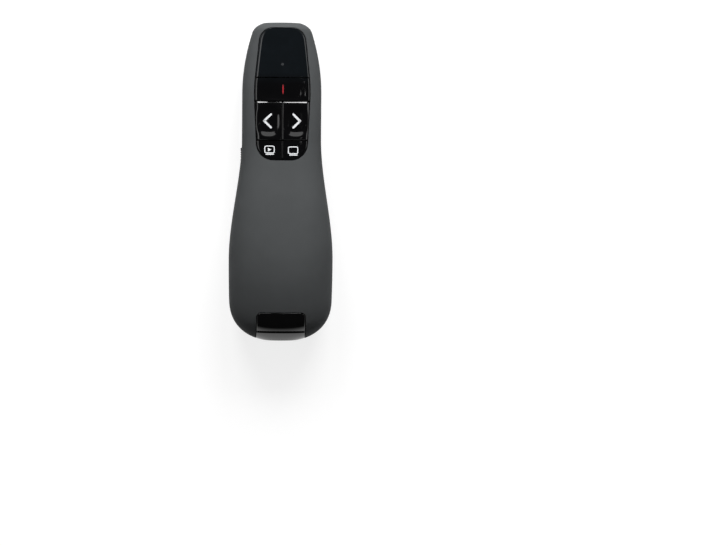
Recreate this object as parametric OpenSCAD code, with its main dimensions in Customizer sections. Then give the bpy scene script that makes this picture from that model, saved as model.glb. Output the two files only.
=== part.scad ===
// Wireless presentation clicker, millimetres.
// X is the width, +Y points to the nose, +Z is up and the clicker lies on its belly at z = 0.
// Distances called "from the nose" run back along the body, those "from the tail" run forward.

/* [Body outline] */
// Overall length from nose to tail
body_length = 115.5; // [112:0.5:122]
// Width of the body's taper where it meets the nose
nose_width = 19.1; // [18.6:0.1:21]
// Width of the head, at its widest
head_width = 28.7; // [27.6:0.1:31]
// Width of the waist
waist_width = 28.7; // [27.2:0.1:31]
// Width of the hip, the widest place
hip_width = 37.8; // [37:0.1:42]
// Width where the tail begins to round off
tail_width = 37; // [35.6:0.1:37.6]
// Widest place of the head, from the nose
head_at = 26; // [22:0.5:30]
// Narrowest place of the waist, from the nose
waist_at = 42; // [39:0.5:44]
// Widest place of the hip, from the tail
hip_from_tail = 29.5; // [27:0.5:32]
// Where the tail width is taken, from the tail
tail_at = 9.5; // [8:0.5:11]
// How far the nose corners round off along the body
nose_round = 4; // [3.4:0.1:5]
// How far the tail corners round off along the body
tail_round = 15; // [13:0.5:16]

/* [Body heights] */
// Height of the top edge at the nose
nose_top = 20.3; // [20:0.1:22]
// Height of the head's top face
head_top = 21.2; // [20.8:0.1:23]
// Height of the hip's crest
crest_top = 27.4; // [26.8:0.1:31]
// Height of the top face where the tail begins
tail_top = 24.4; // [24:0.1:26]
// Place of the hip's crest, from the tail
crest_from_tail = 29.5; // [26:0.5:32]
// Where the top face leaves the head and begins to rise, from the nose
rise_at = 41; // [39:0.5:44]
// Height of the chin under the nose
chin_z = 3; // [2:0.1:3.6]
// Height of the finger rest under the keys
rest_z = 5; // [4:0.1:5.4]
// Deepest place of the finger rest, from the nose
rest_at = 36; // [33:0.5:38]
// Where the belly begins, from the tail
belly_at = 55.5; // [54.5:0.5:59]
// Where the belly ends, from the tail
belly_end_from_tail = 19.5; // [17:0.5:22]
// How much the belly's roundness is cut flat
belly_cut = 1; // [0.8:0.1:1.4]
// How far the tail's underside lifts off
tail_lift = 3.5; // [3:0.1:4]
// Height of the parting line between the casings
part_z = 13.5; // [13.4:0.1:13.9]
// Gap of the parting line
seam = 0.2; // [0.1:0.05:0.3]
// Wall thickness of the casings
wall = 1.6; // [1.4:0.1:1.8]

/* [Key panel] */
// Front edge of the panel, from the nose
panel_start = 1.9; // [1.7:0.1:2.1]
// Width of the panel at its front edge
panel_front_width = 16.2; // [15:0.1:17]
// Width of the panel at its widest place
panel_width = 20.7; // [20:0.1:20.9]
// Width of the panel at its rear edge
panel_rear_width = 18.2; // [17.6:0.1:19]
// Radius of the front corners of the panel
panel_front_radius = 5.2; // [4.4:0.1:5.6]
// Radius of the rear corners of the panel
panel_rear_radius = 6.2; // [5.6:0.1:7]
// Length of the window along the body
window_length = 18; // [17.6:0.1:18.4]
// Length of the laser key
laser_key_length = 8.5; // [8:0.1:9]
// Length of the back and forward keys
turn_key_length = 14.1; // [13.5:0.1:14.6]
// Length of the slideshow and blank keys
show_key_length = 7.3; // [7:0.1:7.8]
// Gap between neighbouring keys
key_split = 0.3; // [0.24:0.02:0.4]
// Gap between a key and the casing
key_gap = 0.25; // [0.2:0.01:0.3]
// Gap between the window and the casing
window_gap = 0.12; // [0.08:0.01:0.2]
// Depth of the dish in the back and forward keys
dish_depth = 0.6; // [0.4:0.05:0.8]
// Radius of the dish
dish_radius = 22; // [18:1:30]
// Travel of a key
key_travel = 0.4; // [0.3:0.05:0.5]
// Radius of a key's stem
stem_radius = 1.3; // [1.1:0.05:1.5]
// Radius of the snap foot at the end of a stem
foot_radius = 1.9; // [1.8:0.05:2.1]
// Thickness of the snap foot
foot_thickness = 0.8; // [0.6:0.05:1]
// Radius of a key's guide pin
guide_radius = 0.8; // [0.7:0.05:0.9]
// Running clearance of stems, pins and plungers
running_fit = 0.06; // [0.04:0.01:0.08]
// Thickness of the plate that guides the keys
frame_thickness = 1; // [0.8:0.1:1.2]
// Width of the plate that guides the keys
frame_width = 21.4; // [21:0.1:21.8]
// Thickness of the collar round the key opening
collar_wall = 1.1; // [0.9:0.1:1.2]
// Thickness of the deck under the window
deck_thickness = 1; // [0.9:0.05:1.1]

/* [Board and switches] */
// Underside of the main board
board_z = 9.6; // [9.4:0.1:9.8]
// Thickness of the main board
board_thickness = 1.2; // [1:0.1:1.3]
// Room between the main board and the casing's side wall
board_clearance = 0.5; // [0.4:0.05:0.7]
// Front edge of the main board, from the nose
board_start = 12.9; // [12.8:0.1:13.1]
// Room between the main board and the battery tray
board_tray_gap = 1.1; // [0.9:0.1:1.5]
// Side of a key switch's square body
switch_size = 6; // [5.6:0.1:6]
// Height of a key switch's body
switch_height = 3.1; // [2.9:0.1:3.2]
// Height of a key switch with its plunger
switch_total = 4.3; // [4.2:0.05:4.5]
// Radius of a switch plunger
plunger_radius = 1.7; // [1.5:0.05:1.75]
// How deep a plunger sits in its switch
plunger_hold = 1; // [0.9:0.05:1.1]

/* [Laser] */
// Height of the laser's axis
laser_z = 10.2; // [10:0.05:10.4]
// Radius of the laser barrel
barrel_radius = 3; // [2.9:0.05:3.1]
// Length of the laser barrel
barrel_length = 10; // [9.5:0.1:10]
// Outer radius of the bezel in the nose
bezel_radius = 2.9; // [2.8:0.05:3]
// Radius of the aperture in the bezel
aperture_radius = 1.8; // [1.6:0.05:1.9]
// Radius of the laser diode's flange
diode_radius = 2.6; // [2.5:0.05:2.65]

/* [Power slider] */
// Middle of the slider's slot, from the nose
slider_at = 47; // [46.6:0.1:47.2]
// Length of the slider's pad
pad_length = 5; // [4.5:0.1:5.4]
// Height of the slider's pad
pad_height = 2; // [1.8:0.05:2.1]
// How far the pad stands out of the side
pad_proud = 0.3; // [0.2:0.05:0.4]
// Travel of the power slider
slider_travel = 2; // [1.6:0.1:2.2]

/* [Batteries] */
// Diameter of an AAA cell
cell_diameter = 10.5; // [10.2:0.1:10.5]
// Length of an AAA cell with its button
cell_length = 44.5; // [44.2:0.1:44.6]
// Spacing of the two cells
cell_pitch = 10.8; // [10.7:0.05:10.9]
// Height of the cells' axes
cell_z = 7.3; // [7.25:0.05:7.4]
// Thickness of a battery contact
contact_thickness = 0.4; // [0.3:0.05:0.5]
// Length of a battery spring under load
spring_length = 4.2; // [4:0.1:4.4]
// Thickness of the battery spring's wire
spring_wire = 0.6; // [0.5:0.05:0.7]

/* [Battery door] */
// Width of the battery door
door_width = 23.2; // [22.8:0.1:23.6]
// Front edge of the battery door, from the tail
door_length = 58.5; // [57.5:0.1:58.6]
// Gap round the battery door
door_gap = 0.15; // [0.1:0.01:0.2]
// Thickness of the rails that carry the door
rail_thickness = 0.6; // [0.5:0.05:0.65]
// How far the rails reach in over the door
rail_reach = 1.3; // [1.1:0.05:1.4]

/* [Receiver] */
// Width of the receiver
receiver_width = 17.6; // [17:0.1:18]
// Thickness of the receiver
receiver_thickness = 7.2; // [7:0.1:7.3]
// Length of the receiver without its plug
receiver_body = 41; // [40.5:0.1:41.5]
// Length of the end cap that shows in the tail
cap_length = 10.8; // [10.2:0.1:11.2]
// Rounding of the end cap's two inner corners, seen from above
cap_corner = 1.7; // [1.4:0.1:2]
// Width of the USB plug
plug_width = 12; // [11.95:0.01:12.05]
// Height of the USB plug
plug_height = 4.5; // [4.45:0.01:4.55]
// Length of the USB plug that shows
plug_length = 12; // [11.75:0.05:12]
// Wall of the USB plug's steel shell
plug_wall = 0.3; // [0.25:0.01:0.35]

/* [Hidden] */
$fn = 64;

charcoal = [0.22, 0.225, 0.23];
gloss_black = [0.04, 0.045, 0.055];
board_green = [0.05, 0.3, 0.15];
steel = [0.75, 0.75, 0.77];
brass = [0.8, 0.65, 0.3];
black = [0.08, 0.08, 0.08];

// The surface is drawn as rings across the body and segments round each ring
rings = 48;
segments = 24;
nose_y = body_length / 2;
hip_at = body_length - hip_from_tail;
tail_from = body_length - tail_at;
crest_at = body_length - crest_from_tail;
belly_start = body_length - belly_at;
belly_end = body_length - belly_end_from_tail;
eps = 0.01;

// Powers of the rounded corners, seen from above, and how blunt each end is
nose_power = 2.6;
tail_power = 2.4;
nose_lead = 0.5;
tail_lead = 0.3;
// Rounding of the ends seen from the side
nose_drop = 2.6;
nose_drop_lead = 0.86;
tail_drop = 7.5;
tail_drop_lead = 1;
// Powers of the cross-sections: 2 is an ellipse, more is squarer
head_power = 3;
hip_power = 2.35;
belly_power = 3.4;

function mix(a, b, u) = a + (b - a) * u;
function ease(u) = let (c = min(1, max(0, u))) c * c * (3 - 2 * c);
// Rounds an end off: 1 away from it, falling to a blunt end at distance 0
function round_off(d, length, lead, power) = d >= length ? 1 :
    pow(1 - pow(1 - (d + lead) / (length + lead), power), 1 / power);

// Half of the body's width at a distance from the nose
function plan(s) =
    s < head_at ? head_width / 2 - (head_width - nose_width) / 2 * pow(1 - s / head_at, 2) :
    s < waist_at ? mix(head_width, waist_width, ease((s - head_at) / (waist_at - head_at))) / 2 :
    s < hip_at ? mix(waist_width, hip_width, ease((s - waist_at) / (hip_at - waist_at))) / 2 :
    hip_width / 2 - (hip_width - tail_width) / 2 * pow((s - hip_at) / (tail_from - hip_at), 2);
function half_width(s) = plan(s) * round_off(s, nose_round, nose_lead, nose_power)
    * round_off(body_length - s, tail_round, tail_lead, tail_power);

// Height of the top face's middle line above the parting line
function top_line(s) =
    s < rise_at ? mix(nose_top, head_top, ease(s / head_at)) :
    s < crest_at ? mix(head_top, crest_top, ease((s - rise_at) / (crest_at - rise_at))) :
    crest_top - (crest_top - tail_top) * pow((s - crest_at) / (tail_from - crest_at), 2);
function top_rise(s) = (top_line(s) - part_z) * round_off(s, nose_drop, nose_drop_lead, 2)
    * round_off(body_length - s, tail_drop, tail_drop_lead, 2);

// Depth of the underside's middle line below the parting line, before the belly is cut flat
function bottom_line(s) =
    s < rest_at ? mix(chin_z, rest_z, ease(s / rest_at)) :
    s < belly_start ? mix(rest_z, -belly_cut, ease((s - rest_at) / (belly_start - rest_at))) :
    s < belly_end ? -belly_cut :
    -belly_cut + tail_lift * pow((s - belly_end) / (body_length - belly_end), 2);
function bottom_drop(s) = (part_z - bottom_line(s)) * round_off(s, nose_drop, nose_drop_lead, 2)
    * round_off(body_length - s, tail_drop, tail_drop_lead, 2);
function top_power(s) = mix(head_power, hip_power, ease((s - rise_at) / (crest_at - rise_at)));

// Rings lie close together at the two ends
function ring_place(i) = body_length / 2 * (1 - cos(180 * i / rings));
function ring_before(s) = max(0, floor(acos(1 - 2 * s / body_length) / 180 * rings));
function ring_after(s) = min(rings, ceil(acos(1 - 2 * s / body_length) / 180 * rings));

// One ring of points on the upper or lower surface, set in from the outside by inset
function ring(i, upper, inset) =
    let (
        s = ring_place(i),
        y = nose_y - inset - s * (1 - 2 * inset / body_length),
        w = half_width(s) - inset,
        h = (upper ? top_rise(s) : bottom_drop(s)) - inset,
        n = upper ? top_power(s) : belly_power
    )
    [for (j = [0 : segments])
        let (
            v = sin(90 * (2 * j / segments - 1)),
            rise = h * pow(max(0, 1 - pow(abs(v), n)), 1 / n)
        )
        [w * v, y, upper ? max(part_z + seam / 2, part_z + rise)
            : min(part_z - seam / 2, max(inset, part_z - rise))]];

// Faces of a sheet of rings, numbered from first; flip turns them inside out
function sheet_faces(first, count, flip) =
    [for (i = [0 : count - 2], j = [0 : segments - 1])
        let (
            a = first + i * (segments + 1) + j,
            b = a + segments + 1,
            quad = [a, a + 1, b + 1, b]
        )
        each flip ? [[quad[0], quad[2], quad[1]], [quad[0], quad[3], quad[2]]]
            : [[quad[0], quad[1], quad[2]], [quad[0], quad[2], quad[3]]]];
function turned(face, flip) = flip ? [for (i = [len(face) - 1 : -1 : 0]) face[i]] : face;

// A casing half: outer sheet, inner sheet, rims along the parting line and closed ends
module half_shell(upper) {
    count = rings + 1;
    step = segments + 1;
    inner = count * step;
    last = (count - 1) * step;
    points = [
        for (i = [0 : rings]) each ring(i, upper, 0),
        for (i = [0 : rings]) each ring(i, upper, wall)
    ];
    faces = concat(
        sheet_faces(0, count, !upper),
        sheet_faces(inner, count, upper),
        [for (i = [0 : count - 2])
            turned([i * step, (i + 1) * step, inner + (i + 1) * step, inner + i * step], !upper)],
        [for (i = [0 : count - 2])
            turned([i * step + segments, inner + i * step + segments,
                inner + (i + 1) * step + segments, (i + 1) * step + segments], !upper)],
        [turned([0, inner, inner + segments, segments], !upper)],
        [turned([last, last + segments, inner + last + segments, inner + last], !upper)],
        [turned([for (j = [segments : -1 : 0]) j], !upper)],
        [turned([for (j = [0 : segments]) inner + j], !upper)],
        [turned([for (j = [0 : segments]) last + j], !upper)],
        [turned([for (j = [segments : -1 : 0]) inner + last + j], !upper)]
    );
    polyhedron(points, faces, convexity = 8);
}

// Solid body between two distances from the nose, from the parting line out to the surface
module half_block(upper, inset, from, to) {
    start = ring_before(from);
    end = ring_after(to);
    count = end - start + 1;
    step = segments + 1;
    last = (count - 1) * step;
    points = [for (i = [start : end]) each ring(i, upper, inset)];
    faces = concat(
        sheet_faces(0, count, !upper),
        [for (i = [0 : count - 2])
            turned([i * step, (i + 1) * step, (i + 1) * step + segments, i * step + segments],
                !upper)],
        [turned([for (j = [segments : -1 : 0]) j], !upper)],
        [turned([for (j = [0 : segments]) last + j], !upper)]
    );
    polyhedron(points, faces, convexity = 6);
}

// Polygon corners rounded by arcs
arc_steps = 8;
function unit(v) = v / norm(v);
function corner_arc(a, p, b, r) =
    let (
        u = unit(a - p),
        v = unit(b - p),
        half = acos(u * v) / 2,
        c = p + unit(u + v) * r / sin(half),
        from = p + u * r / tan(half) - c,
        to = p + v * r / tan(half) - c
    )
    [for (k = [0 : arc_steps]) c + r * unit(from + (to - from) * k / arc_steps)];
function rounded(corners) =
    let (n = len(corners))
    [for (i = [0 : n - 1])
        let (
            a = corners[(i + n - 1) % n],
            p = corners[i],
            b = corners[(i + 1) % n]
        )
        each p[2] == 0 ? [[p[0], p[1]]]
            : corner_arc([a[0], a[1]], [p[0], p[1]], [b[0], b[1]], p[2])];

// A box given by its limits: across, from the nose, and up
module block(x, s, z)
    translate([x[0], nose_y - s[1], z[0]]) cube([x[1] - x[0], s[1] - s[0], z[1] - z[0]]);
// A shape in X and Z carried along the body
module along(from, to)
    translate([0, nose_y - from, 0]) rotate([90, 0, 0]) linear_extrude(to - from) children();
module at(x, s, z) translate([x, nose_y - s, z]) children();
module both() {
    children();
    mirror([1, 0, 0]) children();
}
module post(x, s, from, to, r) at(x, s, from) cylinder(h = to - from, r = r);

// ---- Places and levels ----
// How far a cut runs past what it cuts, and blocks that lie wholly outside the body
past = 1;
reach = hip_width;
above = crest_top + 10;
past_tail = body_length + 5;
drill = crest_top;

window_end = panel_start + window_length;
laser_key_end = window_end + laser_key_length;
turn_key_end = laser_key_end + turn_key_length;
panel_end = turn_key_end + show_key_length;
side_reach = panel_width / 2 + past;
board_top = board_z + board_thickness;
plunger_top = board_top + switch_total;
frame_z = plunger_top + foot_thickness;
frame_top = frame_z + frame_thickness;
key_floor_gap = 0.2;
key_floor = frame_top + key_travel + key_floor_gap;
deck_gap = 0.4;
deck_z = frame_top + deck_gap;
deck_top = deck_z + deck_thickness;
frame_lead = 3;
frame_tail = 4.8;
frame_start = window_end - frame_lead;
frame_end = panel_end + frame_tail;
laser_switch_s = (window_end + laser_key_end) / 2;
turn_switch_s = (laser_key_end + turn_key_end) / 2;
show_switch_s = (turn_key_end + panel_end) / 2;
turn_switch_x = panel_width / 4;
show_switch_x = turn_switch_x;
guide_offset = 4.4;
guide_s = turn_switch_s + guide_offset;
guide_edge = 3.2;
laser_guide_x = panel_width / 2 - guide_edge;
show_guide_x = 2.1;
switch_gap = 0.15;
// Straight part of the panel's sides is an arc of this radius
panel_side_radius = 60;
// Snap slot through a key's stem
snap_slot = 0.5;
snap_slot_lift = 0.4;

// Screws: the small ones hold the key frame, the board and the battery tray
small_screw_radius = 0.7;
small_head_radius = 1.3;
small_head_height = 0.9;
boss_radius = 1.9;
thread_gap = 0.02;
screw_clearance = 0.1;
thread_end_gap = 0.2;
frame_screw_inset = 1.9;
frame_screw_front_x = 8.3;
frame_screw_rear_x = 7;
frame_screw_depth = 1.1;
frame_screw_length = frame_thickness + frame_screw_depth;
board_screw_depth = 3.2;
board_screw_x = 8.6;
board_screw_inset = 7;
board_screw_s = board_start + board_screw_inset;
board_screw_rear_offset = 5.4;
board_screw_rear_s = turn_switch_s + board_screw_rear_offset;

// Case screws: places, and the level at which their heads sit in the bottom casing
case_boss_radius = 2.2;
case_screw_radius = 1;
case_head_radius = 1.6;
case_head_height = 1.2;
case_head_gap = 0.15;
case_head_wall = 0.75;
case_seat_z = 8.3;
case_screw_depth = 3.4;
nose_screw_x = 8.2;
nose_screw_s = 9;

// Status light: a chip light on the board under a pipe in the window's deck
led_s = 15.1;
led_width = 1.2;
led_length = 1.6;
led_height = 0.7;
pipe_radius = 0.8;
pipe_flange_radius = 1.3;
pipe_flange_height = 0.8;

// Chips on the board: side across, side along and height
chip_x = 6.6;
chip_s = 28;
radio_side = 4;
radio_height = 0.9;
controller_side = 5;
controller_height = 1;
crystal_width = 3.2;
crystal_length = 2.5;
crystal_height = 0.8;
capacitor_width = 0.8;
capacitor_length = 1.6;
capacitor_height = 0.8;
capacitor_pitch = 1.6;
small_chip_s = 24.4;
board_stations = 8;

// Laser module
barrel_start = wall + 0.4;
barrel_end = barrel_start + barrel_length;
barrel_wall = 0.7;
bore_radius = barrel_radius - barrel_wall;
bezel_start = 0.05;
laser_window_start = 0.7;
lens_inset = 1;
lens_start = barrel_start + lens_inset;
lens_thickness = 1.6;
flange_thickness = 1.2;
diode_start = barrel_end - flange_thickness;
diode_can_length = 2.3;
diode_can_radius = 1.6;
lead_radius = 0.22;
lead_pitch = 1.27;
lead_hold = 1;
cradle_width = 1.2;
cradle_wall = 1;
front_cradle_s = 5;
rear_cradle_s = 9.5;

// Batteries, measured from the tail
tray_wall = 1;
tray_clearance = 1.3;
cell_x = cell_pitch / 2;
button_radius = 1.9;
button_height = 1;
bay_from_tail = 10.5;
bay_end = body_length - bay_from_tail;
contact_gap = 0.05;
bay_start = bay_end - cell_length - spring_length - 2 * (contact_thickness + contact_gap);
tray_start = bay_start - tray_wall;
tray_end = bay_end + tray_wall;
tray_half = cell_x + cell_diameter / 2 + tray_clearance;
tray_top = part_z - seam / 2;
tray_roof_gap = 0.15;
tray_roof_z = cell_z + cell_diameter / 2 + tray_roof_gap;
tray_side_z = 6.5;
tray_end_setback = 1.35;
tray_end_half = tray_half - tray_end_setback;
tray_front_z = 4.6;
tray_rear_z = 5.5;
ear_front_offset = 15;
ear_rear_offset = 15.5;
ear_screw_offset = 1.4;
ear_front_s = bay_start + ear_front_offset;
ear_rear_s = bay_end - ear_rear_offset;
ear_x = tray_half + ear_screw_offset;
ear_reach = 1.3;
ear_half = 1.7;
ear_gap = 0.2;
tray_screw_depth = 2.6;
tray_screw_length = part_z - tray_roof_z + tray_screw_depth;
board_end = tray_start - board_tray_gap;
plate_half = 3.9;
spring_wide_radius = 3.2;
spring_narrow_radius = 2.2;
tab_half = 1;
tab_hold = 1.4;
hip_screw_gap = 0.65;
hip_screw_offset = 7;
hip_screw_x = tray_half + case_boss_radius + hip_screw_gap;
hip_screw_s = bay_end - hip_screw_offset;

// Receiver
receiver_gap = 0.25;
cap_gap = 0.2;
cap_inset = 0.06;
receiver_z = tray_top + receiver_gap;
receiver_top = receiver_z + receiver_thickness;
receiver_half = receiver_width / 2;
receiver_start = body_length - receiver_body;
cap_start = body_length - cap_length;
guide_end_gap = 0.6;
plug_start = receiver_start - plug_length;
plug_z = receiver_z + receiver_thickness / 2;
receiver_seam = 0.1;
receiver_wall = 1.2;
receiver_floor = 1;
receiver_chamfer = 0.8;
inner_half = receiver_half - receiver_wall;
inner_start = receiver_start + receiver_wall;
inner_end = cap_start - receiver_wall;
plug_hold = 1.4;
plug_end = inner_start + plug_hold;
plug_gap = 0.05;
receiver_board_thickness = 0.8;
receiver_board_gap = 0.1;
receiver_board_start = inner_start + plug_hold + receiver_board_gap;
receiver_foot_start = 3;
receiver_foot_length = 2;
receiver_foot_width = 1.5;
receiver_foot_inset = 0.5;
receiver_chip_side = 6;
receiver_chip_inset = 14;
receiver_chip_s = inner_start + receiver_chip_inset;
strip_hold = 2;
tongue_thickness = 1.9;
tongue_setback = 0.8;
strip_thickness = 0.2;
strip_half = 0.5;
inner_strip_x = 1;
outer_strip_x = 3.5;
latch_x = 2.6;
latch_half = 1.1;
latch_inset = 6.1;
latch_s = plug_start + latch_inset;
tongue_top = plug_z + plug_height / 2 - plug_wall;
tongue_z = tongue_top - tongue_thickness;
strip_z = tongue_z - strip_thickness;
receiver_board_z = strip_z - receiver_board_thickness;
receiver_board_top = strip_z;
// Guides beside the receiver and the stop before its plug stand on the battery tray's roof
guide_wall = 0.8;
guide_height = 5;
stop_half = 6.5;
stop_gap = 0.3;
stop_wall = 1;
// Nail groove across the receiver's cap
nail_groove_inset = 6.8;
nail_groove_s = cap_start + nail_groove_inset;
nail_groove_width = 0.6;
nail_groove_depth = 0.5;

// Door
door_start = body_length - door_length;
door_half = door_width / 2;
rail_x = door_half - rail_reach;
rail_z = 2;
rail_top = rail_z + rail_thickness;
rail_inset = 9;
rail_from_tail = 11.5;
rail_start = door_start + rail_inset;
rail_end = body_length - rail_from_tail;
rail_root = 0.9;
rail_web = 0.6;
slide_gap = 0.2;
hook_thickness = 0.7;
hook_width = 0.7;
hook_z = rail_top + slide_gap;
hook_inset = 2;
hook_start = rail_start + hook_inset;
hook_end = rail_end - hook_inset;
groove_count = 5;
groove_inset = 5;
groove_start = door_start + groove_inset;
groove_pitch = 2;
groove_width = 1;
groove_depth = 0.5;
groove_half = 5;

// Power slider
side_x = half_width(slider_at);
slider_drop = 0.4;
slider_z = part_z - slider_drop - pad_height;
slider_rest = slider_at + slider_travel / 2;
slider_gap = 0.15;
pad_depth = 0.8;
pad_recess = 0.9;
stem_length = 2.4;
keeper_length = 4.4;
keeper_thickness = 0.7;
keeper_gap = 0.1;
keeper_face = room_half(slider_at - (keeper_length + slider_travel) / 2, slider_z) - keeper_gap;
lever_size = 1;
lever_gap = 0.05;
lever_reach = 1.9;
lever_hold = 1;
body_setback = 0.3;
body_face = keeper_face - keeper_thickness - body_setback;
switch_body_depth = 2.6;
switch_body_length = 6.6;
switch_body_height = 2.4;
lever_z = board_top + (switch_body_height - lever_size) / 2;
pad_groove_pitch = 0.9;
pad_groove_half = 0.2;

// Outline of the panel, set in by inset
function panel_outline(inset) =
    let (
        front = panel_front_width / 2 - inset,
        side = panel_width / 2 - inset,
        rear = panel_rear_width / 2 - inset,
        start = nose_y - panel_start - inset,
        wide = nose_y - laser_switch_s,
        end = nose_y - panel_end + inset
    )
    rounded([
        [-front, start, panel_front_radius - inset], [front, start, panel_front_radius - inset],
        [side, wide, panel_side_radius], [rear, end, panel_rear_radius - inset],
        [-rear, end, panel_rear_radius - inset], [-side, wide, panel_side_radius]
    ]);
module panel_prism(inset, from)
    translate([0, 0, from]) linear_extrude(above - from) polygon(panel_outline(inset));

// Screw with a cross recess; the head's flat side is at z = 0 and the shaft points up
module screw(head_r, head_h, shaft_r, shaft_h) {
    slot = head_r * 0.28;
    slot_length = head_r * 1.2;
    difference() {
        union() {
            translate([0, 0, -head_h]) cylinder(h = head_h, r = head_r);
            translate([0, 0, -eps]) cylinder(h = shaft_h + eps, r = shaft_r);
        }
        for (turn = [0, 90])
            rotate([0, 0, turn])
                translate([-slot_length / 2, -slot / 2, -head_h - eps])
                    cube([slot_length, slot, head_h / 2]);
    }
}

module case_screw_places() {
    both() at(nose_screw_x, nose_screw_s, case_seat_z) children();
    both() at(hip_screw_x, hip_screw_s, case_seat_z) children();
}
module frame_screw_places() {
    both() at(frame_screw_front_x, frame_start + frame_screw_inset, frame_z) children();
    both() at(frame_screw_rear_x, frame_end - frame_screw_inset, frame_z) children();
}
module tray_screw_places()
    both() for (s = [ear_front_s, ear_rear_s]) at(ear_x, s, tray_roof_z) children();
module board_screw_places() {
    both() at(board_screw_x, board_screw_s, board_top) children();
    at(0, board_screw_rear_s, board_top) children();
}

// ---- Casings ----
module top_casing() color(charcoal) difference() {
    union() {
        half_shell(true);
        intersection() {
            half_block(true, wall / 2, 0, frame_end + past);
            union() {
                intersection() {
                    panel_prism(-collar_wall, frame_top);
                    block([-reach, reach], [window_end - collar_wall, frame_end],
                        [frame_top, above]);
                }
                block([-reach, reach], [wall / 2, window_end - key_split / 2], [deck_z, deck_top]);
                both() post(nose_screw_x, nose_screw_s, part_z - seam / 2, deck_top,
                    case_boss_radius);
                frame_screw_places() translate([0, 0, frame_thickness])
                    cylinder(h = deck_top - frame_top, r = boss_radius);
                both() post(frame_screw_rear_x, frame_end - frame_screw_inset, frame_top, above,
                    boss_radius);
            }
        }
        intersection() {
            half_block(true, wall / 2, ear_front_s - 3 * boss_radius,
                hip_screw_s + 3 * case_boss_radius);
            both() {
                post(hip_screw_x, hip_screw_s, part_z - seam / 2, above, case_boss_radius);
                for (s = [ear_front_s, ear_rear_s]) post(ear_x, s, tray_top, above, boss_radius);
            }
        }
    }
    intersection() {
        panel_prism(0, deck_top);
        block([-reach, reach], [0, window_end], [deck_top, above]);
    }
    intersection() {
        panel_prism(0, frame_top - eps);
        block([-reach, reach], [window_end - key_split / 2, panel_end + past],
            [frame_top - eps, above]);
    }
    post(0, led_s, deck_z - eps, deck_top + eps, pipe_radius + running_fit);
    case_screw_places()
        cylinder(h = part_z - case_seat_z + case_screw_depth + thread_end_gap,
            r = case_screw_radius + thread_gap);
    frame_screw_places()
        cylinder(h = frame_screw_length + thread_end_gap, r = small_screw_radius + thread_gap);
    tray_screw_places()
        cylinder(h = tray_screw_length + thread_end_gap, r = small_screw_radius + thread_gap);
    cap_room(cap_gap, part_z - past);
}

module bottom_casing() color(charcoal) difference() {
    union() {
        half_shell(false);
        intersection() {
            half_block(false, wall / 2, 0, board_end);
            union() {
                both() post(nose_screw_x, nose_screw_s, 0, part_z - seam / 2,
                    case_head_radius + case_head_gap + case_head_wall);
                board_screw_places()
                    translate([0, 0, -board_top]) cylinder(h = board_z, r = boss_radius);
                for (s = [front_cradle_s, rear_cradle_s])
                    block([-barrel_radius - cradle_wall, barrel_radius + cradle_wall],
                        [s, s + cradle_width], [0, laser_z]);
            }
        }
        intersection() {
            half_block(false, wall / 2, hip_screw_s - 2 * case_boss_radius,
                hip_screw_s + 2 * case_boss_radius);
            both() post(hip_screw_x, hip_screw_s, 0, part_z - seam / 2,
                case_head_radius + case_head_gap + case_head_wall);
        }
        both() block([rail_x, door_half + rail_root], [rail_start, rail_end], [rail_z, rail_top]);
        both() block([door_half, door_half + rail_web], [rail_start, rail_end],
            [rail_z - rail_web, rail_top]);
    }
    difference() {
        block([-door_half, door_half], [door_start, past_tail], [-past, part_z]);
        both() block([rail_x, door_half + eps], [rail_start, rail_end], [rail_z, rail_top]);
    }
    case_screw_places() {
        translate([0, 0, -case_seat_z - past])
            cylinder(h = case_seat_z + past, r = case_head_radius + case_head_gap);
        cylinder(h = part_z, r = case_screw_radius + screw_clearance);
    }
    along(-past, barrel_start) translate([0, laser_z]) circle(r = bezel_radius + thread_gap);
    along(barrel_start, board_start)
        translate([0, laser_z]) circle(r = barrel_radius + thread_gap);
    board_screw_places()
        translate([0, 0, -board_thickness - board_screw_depth - thread_end_gap])
            cylinder(h = board_screw_depth + past, r = small_screw_radius + thread_gap);
    both() for (s = [ear_front_s, ear_rear_s])
        block([tray_half, ear_x + ear_reach + ear_gap], [s - ear_half - ear_gap, s + ear_half + ear_gap],
            [tray_roof_z - small_head_height - ear_gap, part_z]);
    slot_half = (stem_length + slider_travel) / 2 + slider_gap;
    pad_half = (pad_length + slider_travel) / 2 + slider_gap;
    block([-side_x - past, -side_x + pad_recess], [slider_at - pad_half, slider_at + pad_half],
        [slider_z - slider_gap, part_z]);
    block([-side_x - past, -side_x + wall + past], [slider_at - slot_half, slider_at + slot_half],
        [slider_z, part_z]);
}

module battery_door() color(charcoal) {
    difference() {
        intersection() {
            half_shell(false);
            block([-door_half + door_gap, door_half - door_gap], [door_start + door_gap, past_tail],
                [-past, part_z]);
        }
        both() block([rail_x - slide_gap, door_half], [door_start - past, rail_end + 2 * slide_gap],
            [rail_z - slide_gap, part_z / 2]);
        for (k = [0 : groove_count - 1])
            block([-groove_half, groove_half],
                [groove_start + groove_pitch * k, groove_start + groove_pitch * k + groove_width],
                [-past, groove_depth]);
    }
    both() {
        block([rail_x - slide_gap - hook_width, rail_x - slide_gap], [hook_start, hook_end],
            [wall - slide_gap, hook_z + hook_thickness]);
        block([rail_x - slide_gap - hook_width, door_half - slide_gap], [hook_start, hook_end],
            [hook_z, hook_z + hook_thickness]);
    }
}

// ---- Panel ----
module window_lens() color(gloss_black) intersection() {
    half_block(true, 0, 0, window_end + past);
    panel_prism(window_gap, deck_top);
    block([-reach, reach], [0, window_end - key_split / 2], [deck_top, above]);
}

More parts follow.
